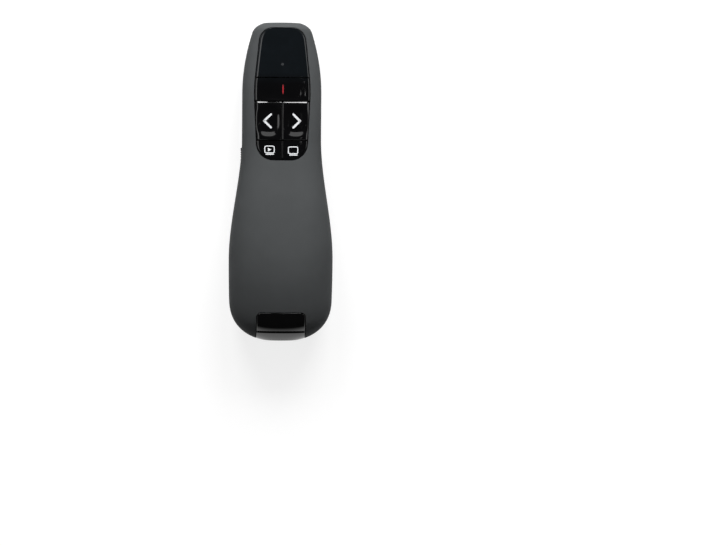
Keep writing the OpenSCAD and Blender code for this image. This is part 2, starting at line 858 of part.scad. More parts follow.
// A keycap: its cell of the panel under the body's surface, with a snap stem and guide pins
module keycap(x, s, stem, guides) color(gloss_black) {
    half = key_split / 2;
    difference() {
        intersection() {
            half_block(true, 0, window_end - past, panel_end + past);
            panel_prism(key_gap, key_floor);
            block([x[0] + half, x[1] - half], [s[0] + half, s[1] - half], [key_floor, above]);
        }
        children();
    }
    difference() {
        union() {
            post(stem[0], stem[1], frame_z - eps, key_floor + eps, stem_radius);
            post(stem[0], stem[1], plunger_top, frame_z, foot_radius);
        }
        block([stem[0] - snap_slot / 2, stem[0] + snap_slot / 2],
            [stem[1] - 2 * foot_radius, stem[1] + 2 * foot_radius],
            [plunger_top + snap_slot_lift, frame_top + snap_slot_lift]);
    }
    for (g = guides) post(g[0], g[1], frame_z, key_floor + eps, guide_radius);
}
module dish(x, s) at(x, s, part_z + top_rise(s) - dish_depth + dish_radius) sphere(r = dish_radius);

laser_stem = [0, laser_switch_s];
laser_guides = [[-laser_guide_x, laser_switch_s], [laser_guide_x, laser_switch_s]];
module laser_key() keycap([-side_reach, side_reach], [window_end, laser_key_end],
    laser_stem, laser_guides);
module back_key() keycap([-side_reach, 0], [laser_key_end, turn_key_end],
    [-turn_switch_x, turn_switch_s], [[-turn_switch_x, guide_s]]) dish(-turn_switch_x, turn_switch_s);
module forward_key() keycap([0, side_reach], [laser_key_end, turn_key_end],
    [turn_switch_x, turn_switch_s], [[turn_switch_x, guide_s]]) dish(turn_switch_x, turn_switch_s);
module slideshow_key() keycap([-side_reach, 0], [turn_key_end, panel_end + past],
    [-show_switch_x, show_switch_s], [[-show_guide_x, show_switch_s]]);
module blank_key() keycap([0, side_reach], [turn_key_end, panel_end + past],
    [show_switch_x, show_switch_s], [[show_guide_x, show_switch_s]]);

module key_frame() color(black) difference() {
    block([-frame_width / 2, frame_width / 2], [frame_start, frame_end], [frame_z, frame_top]);
    post(0, laser_switch_s, 0, above, stem_radius + running_fit);
    both() {
        post(laser_guide_x, laser_switch_s, 0, above, guide_radius + running_fit);
        post(turn_switch_x, turn_switch_s, 0, above, stem_radius + running_fit);
        post(turn_switch_x, guide_s, 0, above, guide_radius + running_fit);
        post(show_switch_x, show_switch_s, 0, above, stem_radius + running_fit);
        post(show_guide_x, show_switch_s, 0, above, guide_radius + running_fit);
    }
    frame_screw_places()
        cylinder(h = drill, r = small_screw_radius + screw_clearance, center = true);
}
module key_frame_screws() color(steel) frame_screw_places()
    screw(small_head_radius, small_head_height, small_screw_radius, frame_screw_length);

// ---- Main board ----
// Half of the room inside the bottom casing at a distance from the nose and a height
function room_half(s, z) = (half_width(s) - wall)
    * pow(1 - pow((part_z - z) / (bottom_drop(s) - wall), belly_power), 1 / belly_power);
// One side of the board's outline, front to rear
function board_edge(side) = [for (k = [0 : board_stations])
    let (s = mix(board_start, board_end, k / board_stations))
    [side * (room_half(s, board_z) - board_clearance), nose_y - s]];
module main_board() color(board_green) difference() {
    right = board_edge(1);
    left = board_edge(-1);
    translate([0, 0, board_z]) linear_extrude(board_thickness)
        polygon(concat(right, [for (k = [board_stations : -1 : 0]) left[k]]));
    board_screw_places()
        cylinder(h = drill, r = small_screw_radius + screw_clearance, center = true);
}
module board_screws() color(steel) board_screw_places() mirror([0, 0, 1])
    screw(small_head_radius, small_head_height, small_screw_radius,
        board_thickness + board_screw_depth);
module switch_places() {
    at(0, laser_switch_s, board_top) children();
    both() at(turn_switch_x, turn_switch_s, board_top) children();
    both() at(show_switch_x, show_switch_s, board_top) children();
}
module key_switches() color(black) switch_places() difference() {
    translate([-switch_size / 2, -switch_size / 2, 0])
        cube([switch_size, switch_size, switch_height]);
    translate([0, 0, switch_height - plunger_hold - key_travel - switch_gap])
        cylinder(h = switch_height, r = plunger_radius + running_fit);
}
module plunger(x, s) color("ivory")
    post(x, s, board_top + switch_height - plunger_hold, plunger_top, plunger_radius);
module laser_plunger() plunger(0, laser_switch_s);
module back_plunger() plunger(-turn_switch_x, turn_switch_s);
module forward_plunger() plunger(turn_switch_x, turn_switch_s);
module slideshow_plunger() plunger(-show_switch_x, show_switch_s);
module blank_plunger() plunger(show_switch_x, show_switch_s);

// A chip on the board: centred at x and s, with its size across, along and up
module chip(x, s, width, length, height)
    block([x - width / 2, x + width / 2], [s - length / 2, s + length / 2],
        [board_top, board_top + height]);
module radio_chip() color(black) chip(chip_x, chip_s, radio_side, radio_side, radio_height);
module controller_chip() color(black)
    chip(-chip_x, chip_s, controller_side, controller_side, controller_height);
module crystal() color(steel)
    chip(chip_x, small_chip_s, crystal_width, crystal_length, crystal_height);
module chip_capacitors() color([0.6, 0.45, 0.3])
    for (k = [-1 : 1])
        chip(-chip_x + capacitor_pitch * k, small_chip_s, capacitor_width, capacitor_length,
            capacitor_height);
module status_led() color("honeydew") chip(0, led_s, led_width, led_length, led_height);
module light_pipe() color("whitesmoke") {
    post(0, led_s, board_top + led_height + screw_clearance, deck_top, pipe_radius);
    post(0, led_s, deck_z - pipe_flange_height, deck_z, pipe_flange_radius);
}

// ---- Laser ----
module laser_ring(from, to, r) along(from, to) translate([0, laser_z]) circle(r = r);
module laser_bezel() color(steel) difference() {
    laser_ring(bezel_start, barrel_start, bezel_radius);
    laser_ring(bezel_start - past, barrel_start + past, aperture_radius + thread_gap);
}
module laser_window() color([0.3, 0.02, 0.03])
    laser_ring(laser_window_start, barrel_start, aperture_radius);
module laser_barrel() color(brass) difference() {
    laser_ring(barrel_start, barrel_end, barrel_radius);
    laser_ring(barrel_start - past, barrel_end + past, bore_radius);
    laser_ring(diode_start, barrel_end + past, diode_radius + thread_gap);
}
module laser_lens() color([0.8, 0.9, 0.95])
    laser_ring(lens_start, lens_start + lens_thickness, bore_radius - thread_gap);
module laser_diode() color(brass) {
    laser_ring(diode_start, barrel_end, diode_radius);
    laser_ring(diode_start - diode_can_length, diode_start + eps, diode_can_radius);
}
module laser_leads() color(steel) for (k = [-1 : 1])
    along(barrel_end, board_start + lead_hold)
        translate([lead_pitch * k, board_top + lead_radius]) circle(r = lead_radius);

// ---- Power switch ----
module power_switch_body() color(steel) difference() {
    slot_half = (lever_size + slider_travel) / 2 + screw_clearance;
    block([-body_face, -body_face + switch_body_depth],
        [slider_at - switch_body_length / 2, slider_at + switch_body_length / 2],
        [board_top, board_top + switch_body_height]);
    block([-body_face - past, -body_face + lever_hold + screw_clearance],
        [slider_at - slot_half, slider_at + slot_half],
        [lever_z - screw_clearance, lever_z + lever_size + screw_clearance]);
}
module power_switch_lever() color(black)
    block([-body_face - lever_reach, -body_face + lever_hold],
        [slider_rest - lever_size / 2, slider_rest + lever_size / 2],
        [lever_z, lever_z + lever_size]);
module power_slider() color(black) difference() {
    union() {
        block([-side_x - pad_proud, -side_x + pad_depth],
            [slider_rest - pad_length / 2, slider_rest + pad_length / 2],
            [slider_z, slider_z + pad_height]);
        block([-side_x, -keeper_face + eps],
            [slider_rest - stem_length / 2, slider_rest + stem_length / 2],
            [slider_z + slider_gap, slider_z + pad_height]);
        block([-keeper_face, -keeper_face + keeper_thickness],
            [slider_rest - keeper_length / 2, slider_rest + keeper_length / 2],
            [slider_z, slider_z + pad_height]);
    }
    block([-body_face - lever_reach - lever_gap, -body_face + past],
        [slider_rest - lever_size / 2 - lever_gap, slider_rest + lever_size / 2 + lever_gap],
        [lever_z - lever_gap, lever_z + lever_size + lever_gap]);
    for (k = [-2 : 2])
        block([-side_x - pad_proud - past, -side_x - pad_proud + pad_groove_half],
            [slider_rest + k * pad_groove_pitch - pad_groove_half,
                slider_rest + k * pad_groove_pitch + pad_groove_half], [slider_z - past, part_z]);
}

// ---- Batteries ----
module battery_tray() color(black) difference() {
    union() {
        block([-tray_half, tray_half], [tray_start, tray_end], [tray_roof_z, tray_top]);
        both() block([tray_half - tray_wall, tray_half], [tray_start, tray_end],
            [tray_side_z, tray_top]);
        block([-tray_end_half, tray_end_half], [tray_start, bay_start], [tray_front_z, tray_top]);
        block([-tray_end_half, tray_end_half], [bay_end, tray_end], [tray_rear_z, tray_top]);
        both() for (s = [ear_front_s, ear_rear_s])
            block([tray_half - eps, ear_x + ear_reach], [s - ear_half, s + ear_half],
                [tray_roof_z, tray_top]);
        both() block([receiver_half + cap_gap, receiver_half + cap_gap + guide_wall],
            [inner_start, cap_start - guide_end_gap], [tray_top - eps, receiver_z + guide_height]);
        block([-stop_half, stop_half],
            [plug_start - stop_gap - stop_wall, plug_start - stop_gap],
            [tray_top - eps, plug_z + plug_height / 2]);
    }
    tray_screw_places()
        cylinder(h = drill, r = small_screw_radius + screw_clearance, center = true);
    both() block([cell_x - tab_half - slide_gap, cell_x + tab_half + slide_gap],
        [tray_start - past, bay_start + past],
        [board_top, board_top + contact_thickness + screw_clearance]);
}
module tray_screws() color(steel) tray_screw_places()
    screw(small_head_radius, small_head_height, small_screw_radius, tray_screw_length);

// AAA cell along Y with its button towards +Y; y = 0 is the flat end
module aaa_cell() rotate([-90, 0, 0]) {
    cylinder(h = cell_length - button_height, r = cell_diameter / 2);
    cylinder(h = cell_length, r = button_radius);
}
module battery_left() color([0.15, 0.15, 0.17])
    at(-cell_x, bay_start + contact_thickness + contact_gap + cell_length, cell_z) aaa_cell();
module battery_right() color([0.15, 0.15, 0.17])
    at(cell_x, bay_end - contact_thickness - contact_gap - cell_length, cell_z)
        mirror([0, 1, 0]) aaa_cell();
// A front contact: plate against the tray's wall, with a tab that lies on the main board
module front_contact(x) color(steel) {
    block([x - plate_half, x + plate_half], [bay_start, bay_start + contact_thickness],
        [cell_z - plate_half, board_top + contact_thickness]);
    block([x - tab_half, x + tab_half], [board_end - tab_hold, bay_start + eps],
        [board_top, board_top + contact_thickness]);
}
module battery_plus_contact() front_contact(-cell_x);
module battery_minus_contact() front_contact(cell_x);
module battery_link_contact() color(steel)
    block([-cell_x - plate_half, cell_x + plate_half], [bay_end - contact_thickness, bay_end],
        [cell_z - plate_half, cell_z + plate_half]);

// Conical battery spring: a wire swept along a helix whose radius shrinks
module battery_spring(x, from, way) {
    turns = 3;
    per_turn = 12;
    sides = 6;
    rise = spring_length - spring_wire - 2 * contact_gap;
    wide = spring_wide_radius;
    narrow = spring_narrow_radius;
    steps = turns * per_turn;
    wire = spring_wire / 2;
    points = [for (i = [0 : steps], j = [0 : sides - 1])
        let (
            u = i / steps,
            turn = 360 * i / per_turn,
            r = mix(wide, narrow, u) + wire * cos(360 * j / sides),
            y = wire + contact_gap + rise * u + wire * sin(360 * j / sides)
        )
        [x + r * cos(turn), nose_y - from - way * y, cell_z + r * sin(turn)]];
    faces = concat(
        [for (i = [0 : steps - 1], j = [0 : sides - 1])
            let (
                a = i * sides + j,
                b = i * sides + (j + 1) % sides,
                quad = [a, b, b + sides, a + sides]
            )
            each way > 0 ? [[quad[0], quad[1], quad[2]], [quad[0], quad[2], quad[3]]]
                : [[quad[0], quad[2], quad[1]], [quad[0], quad[3], quad[2]]]],
        [turned([for (j = [0 : sides - 1]) sides - 1 - j], way < 0)],
        [turned([for (j = [0 : sides - 1]) steps * sides + j], way < 0)]
    );
    polyhedron(points, faces, convexity = 8);
}
module front_battery_spring() color(steel)
    battery_spring(cell_x, bay_start + contact_thickness, 1);
module rear_battery_spring() color(steel)
    battery_spring(-cell_x, bay_end - contact_thickness, -1);

module case_screws() color(steel) case_screw_places()
    screw(case_head_radius, case_head_height, case_screw_radius,
        part_z - case_seat_z + case_screw_depth);

// ---- Receiver ----
// Room of the end cap, seen from above with two round inner corners, grown by a gap
module cap_room(gap, low) {
    half = receiver_half + gap;
    from = cap_start - gap;
    corner = cap_corner + gap;
    block([-half, half], [from + corner, past_tail], [low, above]);
    block([corner - half, half - corner], [from, from + corner + eps], [low, above]);
    both() post(half - corner, from + corner, low, above, corner);
}
module plug_hole() block([-plug_width / 2 - plug_gap, plug_width / 2 + plug_gap],
    [plug_start, inner_start + eps],
    [plug_z - plug_height / 2 - plug_gap, plug_z + plug_height / 2 + plug_gap]);
module receiver_base() color(gloss_black) difference() {
    union() {
        block([-receiver_half, receiver_half], [receiver_start, cap_start + eps],
            [receiver_z, plug_z - receiver_seam / 2]);
        intersection() {
            half_block(true, cap_inset, cap_start - past, body_length);
            cap_room(0, receiver_z);
        }
    }
    block([-inner_half, inner_half], [inner_start, inner_end],
        [receiver_z + receiver_floor, plug_z + past]);
    plug_hole();
    block([-receiver_half - past, receiver_half + past],
        [nail_groove_s, nail_groove_s + nail_groove_width],
        [part_z + top_rise(nail_groove_s) - nail_groove_depth, above]);
}
module receiver_cover() color(gloss_black) difference() {
    side_top = receiver_top - receiver_chamfer;
    low = plug_z + receiver_seam / 2;
    along(receiver_start, cap_start - receiver_seam) polygon([
        [-receiver_half, low], [receiver_half, low], [receiver_half, side_top],
        [receiver_half - receiver_chamfer, receiver_top],
        [receiver_chamfer - receiver_half, receiver_top], [-receiver_half, side_top]
    ]);
    block([-inner_half, inner_half], [inner_start, inner_end],
        [plug_z - past, receiver_top - receiver_wall]);
    plug_hole();
}
module receiver_board() color(board_green) {
    half = inner_half - receiver_board_gap;
    foot_x = half - receiver_foot_inset;
    foot_s = inner_start + receiver_foot_start;
    block([-half, half], [receiver_board_start, inner_end - receiver_board_gap],
        [receiver_board_z, receiver_board_top]);
    both() block([foot_x - receiver_foot_width, foot_x], [foot_s, foot_s + receiver_foot_length],
        [receiver_z + receiver_floor, receiver_board_z + eps]);
}
module receiver_chip() color(black)
    block([-receiver_chip_side / 2, receiver_chip_side / 2],
        [receiver_chip_s - receiver_chip_side / 2, receiver_chip_s + receiver_chip_side / 2],
        [receiver_board_top, receiver_board_top + controller_height]);
module usb_plug_shell() color(steel) difference() {
    block([-plug_width / 2, plug_width / 2], [plug_start, plug_end],
        [plug_z - plug_height / 2, plug_z + plug_height / 2]);
    block([-plug_width / 2 + plug_wall, plug_width / 2 - plug_wall],
        [plug_start - past, plug_end + past],
        [plug_z - plug_height / 2 + plug_wall, plug_z + plug_height / 2 - plug_wall]);
    both() block([latch_x - latch_half, latch_x + latch_half],
        [latch_s - latch_half, latch_s + latch_half], [plug_z, above]);
}
module usb_plug_tongue() color("white")
    block([-plug_width / 2 + plug_wall, plug_width / 2 - plug_wall],
        [plug_start + tongue_setback, plug_end], [tongue_z, tongue_top]);
module usb_contacts() color(brass) both() for (x = [inner_strip_x, outer_strip_x])
    block([x - strip_half, x + strip_half], [plug_start + 2 * tongue_setback, plug_end + strip_hold],
        [strip_z, tongue_z]);

top_casing();
bottom_casing();
window_lens();
laser_key();
back_key();
forward_key();
slideshow_key();
blank_key();
key_frame();
key_frame_screws();
main_board();
board_screws();
key_switches();
laser_plunger();
back_plunger();
forward_plunger();
slideshow_plunger();
blank_plunger();
radio_chip();
controller_chip();
crystal();
chip_capacitors();
status_led();
light_pipe();
laser_bezel();
laser_window();
laser_barrel();
laser_lens();
laser_diode();
laser_leads();
power_switch_body();
power_switch_lever();
power_slider();
battery_tray();
tray_screws();
battery_left();
battery_right();
battery_plus_contact();
battery_minus_contact();
battery_link_contact();
front_battery_spring();
rear_battery_spring();
battery_door();
case_screws();
receiver_base();
receiver_cover();
receiver_board();
receiver_chip();
usb_plug_shell();
usb_plug_tongue();
usb_contacts();
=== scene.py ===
# %% [markdown]
# # A wireless presentation clicker
# This lesson dresses a clicker that was first built as solids. The solids fix every size and every joint.
# Here each visible piece gets its smooth surface and its finish. All lengths in the cells are millimetres,
# and `s` is the distance from the nose back along the body, because that is how a maker measures a body.

# %% Load the frame
import bmesh
import bpy
import numpy as np
from mathutils import Matrix, Vector


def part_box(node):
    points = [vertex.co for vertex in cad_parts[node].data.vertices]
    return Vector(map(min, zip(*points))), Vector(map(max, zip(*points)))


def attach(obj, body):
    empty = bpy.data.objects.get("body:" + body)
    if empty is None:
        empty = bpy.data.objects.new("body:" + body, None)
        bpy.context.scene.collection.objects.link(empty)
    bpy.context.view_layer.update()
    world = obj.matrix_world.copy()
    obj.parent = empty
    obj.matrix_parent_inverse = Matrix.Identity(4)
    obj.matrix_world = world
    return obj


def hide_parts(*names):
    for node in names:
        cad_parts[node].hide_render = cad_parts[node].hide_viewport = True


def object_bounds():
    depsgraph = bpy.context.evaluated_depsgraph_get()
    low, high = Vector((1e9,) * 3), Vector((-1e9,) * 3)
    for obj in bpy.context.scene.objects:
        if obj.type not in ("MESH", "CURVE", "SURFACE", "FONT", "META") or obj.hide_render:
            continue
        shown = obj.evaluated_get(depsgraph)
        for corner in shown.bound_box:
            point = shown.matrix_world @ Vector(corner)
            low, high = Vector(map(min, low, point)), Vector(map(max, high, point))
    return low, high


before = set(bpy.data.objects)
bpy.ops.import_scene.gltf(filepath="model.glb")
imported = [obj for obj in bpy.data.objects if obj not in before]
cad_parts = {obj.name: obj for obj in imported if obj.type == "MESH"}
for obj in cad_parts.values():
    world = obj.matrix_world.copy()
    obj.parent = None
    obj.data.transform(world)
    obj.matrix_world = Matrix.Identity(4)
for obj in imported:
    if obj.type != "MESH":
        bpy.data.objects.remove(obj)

CAD_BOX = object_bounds()
MM = 0.001


def box_mm(node):
    """Lowest and highest corner of a solid at rest, in millimetres."""
    low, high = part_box(node)
    return np.array(low) / MM, np.array(high) / MM


# %% [markdown]
# ## The form of the body
# Seen from above the body is a slim hourglass: a blunt nose, a head, a waist, a wide hip and a round tail.
# Seen from the side its top is low over the keys and high over the batteries. Both lines are short formulas
# in `s`, and each cross-section is a superellipse, which is an ellipse whose power makes it squarer. A
# formula keeps every later piece, such as a key or the battery door, exactly flush with the casing.

# %% The lines of the body
body_low, body_high = (np.array(corner) / MM for corner in CAD_BOX)
NOSE_Y = body_high[1]
LENGTH = body_high[1] - body_low[1]
HIP_WIDTH = body_high[0] - body_low[0]
NOSE_WIDTH, HEAD_WIDTH, WAIST_WIDTH, TAIL_WIDTH = 19.1, 28.7, 28.7, 37.0
HEAD_AT, WAIST_AT, HIP_AT, TAIL_FROM = 26.0, 42.0, 86.0, 106.0
RISE_AT, CREST_AT, REST_AT, BELLY_START, BELLY_END = 41.0, 86.0, 36.0, 60.0, 96.0
NOSE_TOP, HEAD_TOP, CREST_TOP, TAIL_TOP = 20.3, 21.2, box_mm("top_casing")[1][2], 24.4
CHIN_Z, REST_Z, BELLY_CUT, TAIL_LIFT = 3.0, 5.0, 1.0, 3.5
PART_Z, SEAM, WALL = 13.5, 0.2, 1.6
HEAD_POWER, HIP_POWER, BELLY_POWER = 3.0, 2.35, 3.4
END_ROUND = 0.25
# Length, lead and power of each end's round-off, seen from above and seen from the side
NOSE_PLAN, TAIL_PLAN = (4.0, 0.5, 2.6), (15.0, 0.3, 2.4)
NOSE_SIDE, TAIL_SIDE = (2.6, 0.86, 2), (7.5, 1, 2)


def mix(a, b, u):
    """a where u is 0, b where u is 1, and straight between."""
    return a + (b - a) * u


def ease(u):
    """A smooth step: 3 u squared minus 2 u cubed, with u kept between 0 and 1."""
    c = np.clip(u, 0, 1)
    return c * c * (3 - 2 * c)


def share(s, a, b):
    """How far s is on its way from station a to station b: 0 at a and 1 at b."""
    return (s - a) / (b - a)


def round_off(d, length, lead, power):
    """1 far from an end; within length of it, one minus (1 - u) to a power, rooted by the same power."""
    u = 1 - np.clip((d + lead) / (length + lead), 0, 1)
    return (1 - u**power) ** (1 / power)


def end_cap(s):
    """A quarter circle that closes the last quarter millimetre at the nose and at the tail."""
    d = np.clip(np.minimum(s, LENGTH - s) / END_ROUND, 0, 1)
    return np.sqrt(1 - (1 - d) ** 2)


def half_width(s):
    """Half the width seen from above: eased between nose, head, waist, hip and tail, then rounded off."""
    nose_loss, tail_loss = (HEAD_WIDTH - NOSE_WIDTH) / 2, (HIP_WIDTH - TAIL_WIDTH) / 2
    plan = np.where(s < HEAD_AT, HEAD_WIDTH / 2 - nose_loss * (1 - s / HEAD_AT) ** 2,
           np.where(s < WAIST_AT, mix(HEAD_WIDTH, WAIST_WIDTH, ease(share(s, HEAD_AT, WAIST_AT))) / 2,
           np.where(s < HIP_AT, mix(WAIST_WIDTH, HIP_WIDTH, ease(share(s, WAIST_AT, HIP_AT))) / 2,
                    HIP_WIDTH / 2 - tail_loss * share(s, HIP_AT, TAIL_FROM) ** 2)))
    return plan * round_off(s, *NOSE_PLAN) * round_off(LENGTH - s, *TAIL_PLAN) * end_cap(s)


def side_round(s):
    """How both ends round off seen from the side."""
    return round_off(s, *NOSE_SIDE) * round_off(LENGTH - s, *TAIL_SIDE) * end_cap(s)


def top_rise(s):
    """Height of the top's middle line over the parting line: level at the head, then up to the crest."""
    line = np.where(s < RISE_AT, mix(NOSE_TOP, HEAD_TOP, ease(s / HEAD_AT)),
           np.where(s < CREST_AT, mix(HEAD_TOP, CREST_TOP, ease(share(s, RISE_AT, CREST_AT))),
                    CREST_TOP - (CREST_TOP - TAIL_TOP) * share(s, CREST_AT, TAIL_FROM) ** 2))
    return (line - PART_Z) * side_round(s)


def bottom_drop(s):
    """Depth of the underside's middle line: a finger rest under the keys, then a belly cut flat."""
    line = np.where(s < REST_AT, mix(CHIN_Z, REST_Z, ease(s / REST_AT)),
           np.where(s < BELLY_START, mix(REST_Z, -BELLY_CUT, ease(share(s, REST_AT, BELLY_START))),
           np.where(s < BELLY_END, -BELLY_CUT,
                    -BELLY_CUT + TAIL_LIFT * share(s, BELLY_END, LENGTH) ** 2)))
    return (PART_Z - line) * side_round(s)


def top_power(s):
    """The top's cross-section is squarer at the head and rounder at the hip."""
    return mix(HEAD_POWER, HIP_POWER, ease(share(s, RISE_AT, CREST_AT)))


def skin(x, s, upper, inset=0.0):
    """Height of the outer face, or of a face set in by inset: parting line plus or minus a superellipse."""
    place = np.clip((s - inset) / (1 - 2 * inset / LENGTH), 0, LENGTH)
    wide = np.maximum(half_width(place) - inset, 1e-4)
    tall = np.maximum((top_rise(place) if upper else bottom_drop(place)) - inset, 0)
    power = top_power(place) if upper else BELLY_POWER
    rise = tall * (1 - np.clip(np.abs(x) / wide, 0, 1) ** power) ** (1 / power)
    return PART_Z + rise if upper else np.maximum(PART_Z - rise, inset)


print(f"body {LENGTH:.1f} long, {HIP_WIDTH:.1f} wide, waist {2 * half_width(np.array(WAIST_AT)):.1f}")

# %% [markdown]
# ## From numbers to meshes
# Every surface below is a grid of points. One helper numbers the grid's faces, one stacks several closed
# parts into one, and one writes the arrays into a Blender mesh in one go. The sign of a closed part's
# volume tells whether its faces look outwards, so a part that came out inside out is simply turned.

# %% Grid and mesh helpers
def grid_faces(rows, columns, wrap_rows=False, wrap_columns=False):
    """Four corner numbers for each cell of a grid, with the last row or column joined to the first."""
    r = np.arange(rows if wrap_rows else rows - 1)[:, None]
    c = np.arange(columns if wrap_columns else columns - 1)[None, :]
    r1, c1 = (r + 1) % rows, (c + 1) % columns
    near, far = r * columns, r1 * columns
    return np.stack([near + c, far + c, far + c1, near + c1], -1).reshape(-1, 4)


def outward(points, faces):
    """Turns every face round if the sum of the corner tetrahedra says that the part is inside out."""
    middle = points.mean(0)
    volume = 0.0
    for group in faces:
        corner = points[group] - middle
        for k in range(1, group.shape[1] - 1):
            volume += np.einsum("ij,ij->", corner[:, 0], np.cross(corner[:, k], corner[:, k + 1]))
    return points, (faces if volume > 0 else [group[:, ::-1] for group in faces])


def stack(*parts):
    """Several closed parts as one list of points and faces."""
    points, faces, first = [], [], 0
    for part_points, part_faces in parts:
        points.append(part_points)
        faces += [group + first for group in part_faces]
        first += len(part_points)
    return np.concatenate(points), faces


def mesh_object(name, part, sharp=38.0):
    """A smooth-shaded object from points and faces; edges that turn more than sharp degrees stay crisp."""
    points, faces = part
    mesh = bpy.data.meshes.new(name)
    corners = np.concatenate([group.ravel() for group in faces])
    sizes = np.concatenate([np.full(len(group), group.shape[1]) for group in faces])
    mesh.vertices.add(len(points))
    mesh.vertices.foreach_set("co", (points * MM).astype(np.float32).ravel())
    mesh.loops.add(len(corners))
    mesh.loops.foreach_set("vertex_index", corners.astype(np.int32))
    mesh.polygons.add(len(sizes))
    mesh.polygons.foreach_set("loop_start", (np.cumsum(sizes) - sizes).astype(np.int32))
    mesh.update(calc_edges=True)
    mesh.validate()
    finish_shading(mesh, sharp)
    piece = bpy.data.objects.new(name, mesh)
    bpy.context.scene.collection.objects.link(piece)
    return piece


def finish_shading(mesh, sharp=38.0):
    """Smooth faces, with crisp edges only where the surface really turns."""
    mesh.polygons.foreach_set("use_smooth", np.ones(len(mesh.polygons), bool))
    mesh.set_sharp_from_angle(angle=np.radians(sharp))


def weld(piece, distance=0.002):
    """Merges points that lie on each other, such as those of a grid that closes on itself."""
    work = bmesh.new()
    work.from_mesh(piece.data)
    bmesh.ops.remove_doubles(work, verts=work.verts, dist=distance * MM)
    bmesh.ops.dissolve_degenerate(work, edges=work.edges, dist=1e-7)
    work.to_mesh(piece.data)
    work.free()
    finish_shading(piece.data)


def trim(piece, part, operation="DIFFERENCE"):
    """Cuts a closed part away from a piece, or adds it, with an exact Boolean, and keeps the result."""
    tool = mesh_object("tool", part)
    modifier = piece.modifiers.new("trim", "BOOLEAN")
    modifier.operation, modifier.solver, modifier.object = operation, "EXACT", tool
    modifier.use_self = operation == "UNION"
    shape = bpy.data.meshes.new_from_object(piece.evaluated_get(bpy.context.evaluated_depsgraph_get()))
    piece.modifiers.clear()
    old, piece.data = piece.data, shape
    shape.name = piece.name
    bpy.data.meshes.remove(old)
    bpy.data.objects.remove(tool)
    finish_shading(piece.data)


def join(piece, part):
    """Adds a closed part to a piece as it stands, for parts that meet inside and need no cut."""
    other = mesh_object("other", part)
    work = bmesh.new()
    work.from_mesh(piece.data)
    work.from_mesh(other.data)
    work.to_mesh(piece.data)
    work.free()
    bpy.data.meshes.remove(other.data)
    finish_shading(piece.data)


def place(x, s, z):
    """Points from across, from-the-nose and up: y runs the other way from s."""
    x, s, z = np.broadcast_arrays(x, s, z)
    return np.stack([x, NOSE_Y - s, z], -1).astype(float).reshape(-1, 3)


def carry(piece, body, material, nodes=()):
    """Lets a finished piece ride on its body, stand for its solids and wear its finish."""
    piece.data.materials.clear()
    piece.data.materials.append(material)
    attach(piece, body)
    if nodes:
        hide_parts(*nodes)
    print(f"{piece.name}: {len(piece.data.polygons)} faces on {body}")
    return piece


# %% [markdown]
# ## Simple turned and sawn parts
# Screws, tubes, buttons and holes are turned: a profile of radius and height goes once round an axis.
# Slots and notches are sawn: a flat outline is given a thickness. Both close themselves, so they also serve
# as cutting tools for the casings.

# %% Lathe and prism
def lathe(profile, centre, axis="z", sides=48):
    """Rings of (radius, height) pairs round an axis through centre (x, s, z); both ends are capped."""
    radius, height = np.array(profile, float).T
    turn = np.linspace(0, 2 * np.pi, sides, endpoint=False)
    a, b = radius[:, None] * np.cos(turn), radius[:, None] * np.sin(turn)
    h = np.broadcast_to(height[:, None], a.shape)
    x, s, z = {"z": (a, b, h), "s": (a, h, b), "x": (h, a, b)}[axis]
    points = place(x + centre[0], s + centre[1], z + centre[2])
    caps = [np.arange(sides)[None, :], (np.arange(sides) + sides * (len(radius) - 1))[None, ::-1]]
    return outward(points, [grid_faces(len(radius), sides, wrap_columns=True), *caps])


def prism(x, s, low, high):
    """A closed outline of plan points between two heights."""
    n = len(x)
    points = np.concatenate([place(x, s, low), place(x, s, high)])
    caps = [np.arange(n)[None, :], np.arange(n, 2 * n)[None, ::-1]]
    return outward(points, [grid_faces(2, n, wrap_columns=True), *caps])


def bar(x, s, z):
    """A straight bar between two x, two s and two z values."""
    return prism(np.array([x[0], x[1], x[1], x[0]]), np.array([s[0], s[0], s[1], s[1]]), *z)


# %% [markdown]
# ## A small language for finishes
# A finish is made of nodes. Wiring each of them by hand hides the idea, so a tiny class wraps a socket:
# adding or multiplying two wrapped sockets makes the Math node. Any other node comes from one method that
# takes its type, its settings and its inputs, which keeps each finish to a few readable lines.

# %% Socket arithmetic
class Wire:
    """A node's output that can be used in a Python expression."""

    def __init__(self, tree, socket):
        self.tree, self.socket = tree, socket

    def math(self, operation, other=None, swap=False):
        node = self.tree.nodes.new("ShaderNodeMath")
        node.operation = operation
        pair = (other, self) if swap else (self, other)
        for slot, value in zip(node.inputs, pair):
            feed(self.tree, slot, value)
        return Wire(self.tree, node.outputs[0])

    def __add__(self, other): return self.math("ADD", other)
    def __radd__(self, other): return self.math("ADD", other)
    def __sub__(self, other): return self.math("SUBTRACT", other)
    def __rsub__(self, other): return self.math("SUBTRACT", other, swap=True)
    def __mul__(self, other): return self.math("MULTIPLY", other)
    def __rmul__(self, other): return self.math("MULTIPLY", other)


def feed(tree, socket, value):
    """Links a wire to a socket, or sets the socket's own value."""
    if isinstance(value, Wire):
        tree.links.new(value.socket, socket)
    elif value is not None:
        socket.default_value = value


def srgb(red, green, blue):
    """A colour given as 0 to 255 on screen, turned into the linear light that Blender mixes."""
    c = np.array([red, green, blue]) / 255
    linear = np.where(c <= 0.04045, c / 12.92, ((c + 0.055) / 1.055) ** 2.4)
    return (*linear.tolist(), 1.0)


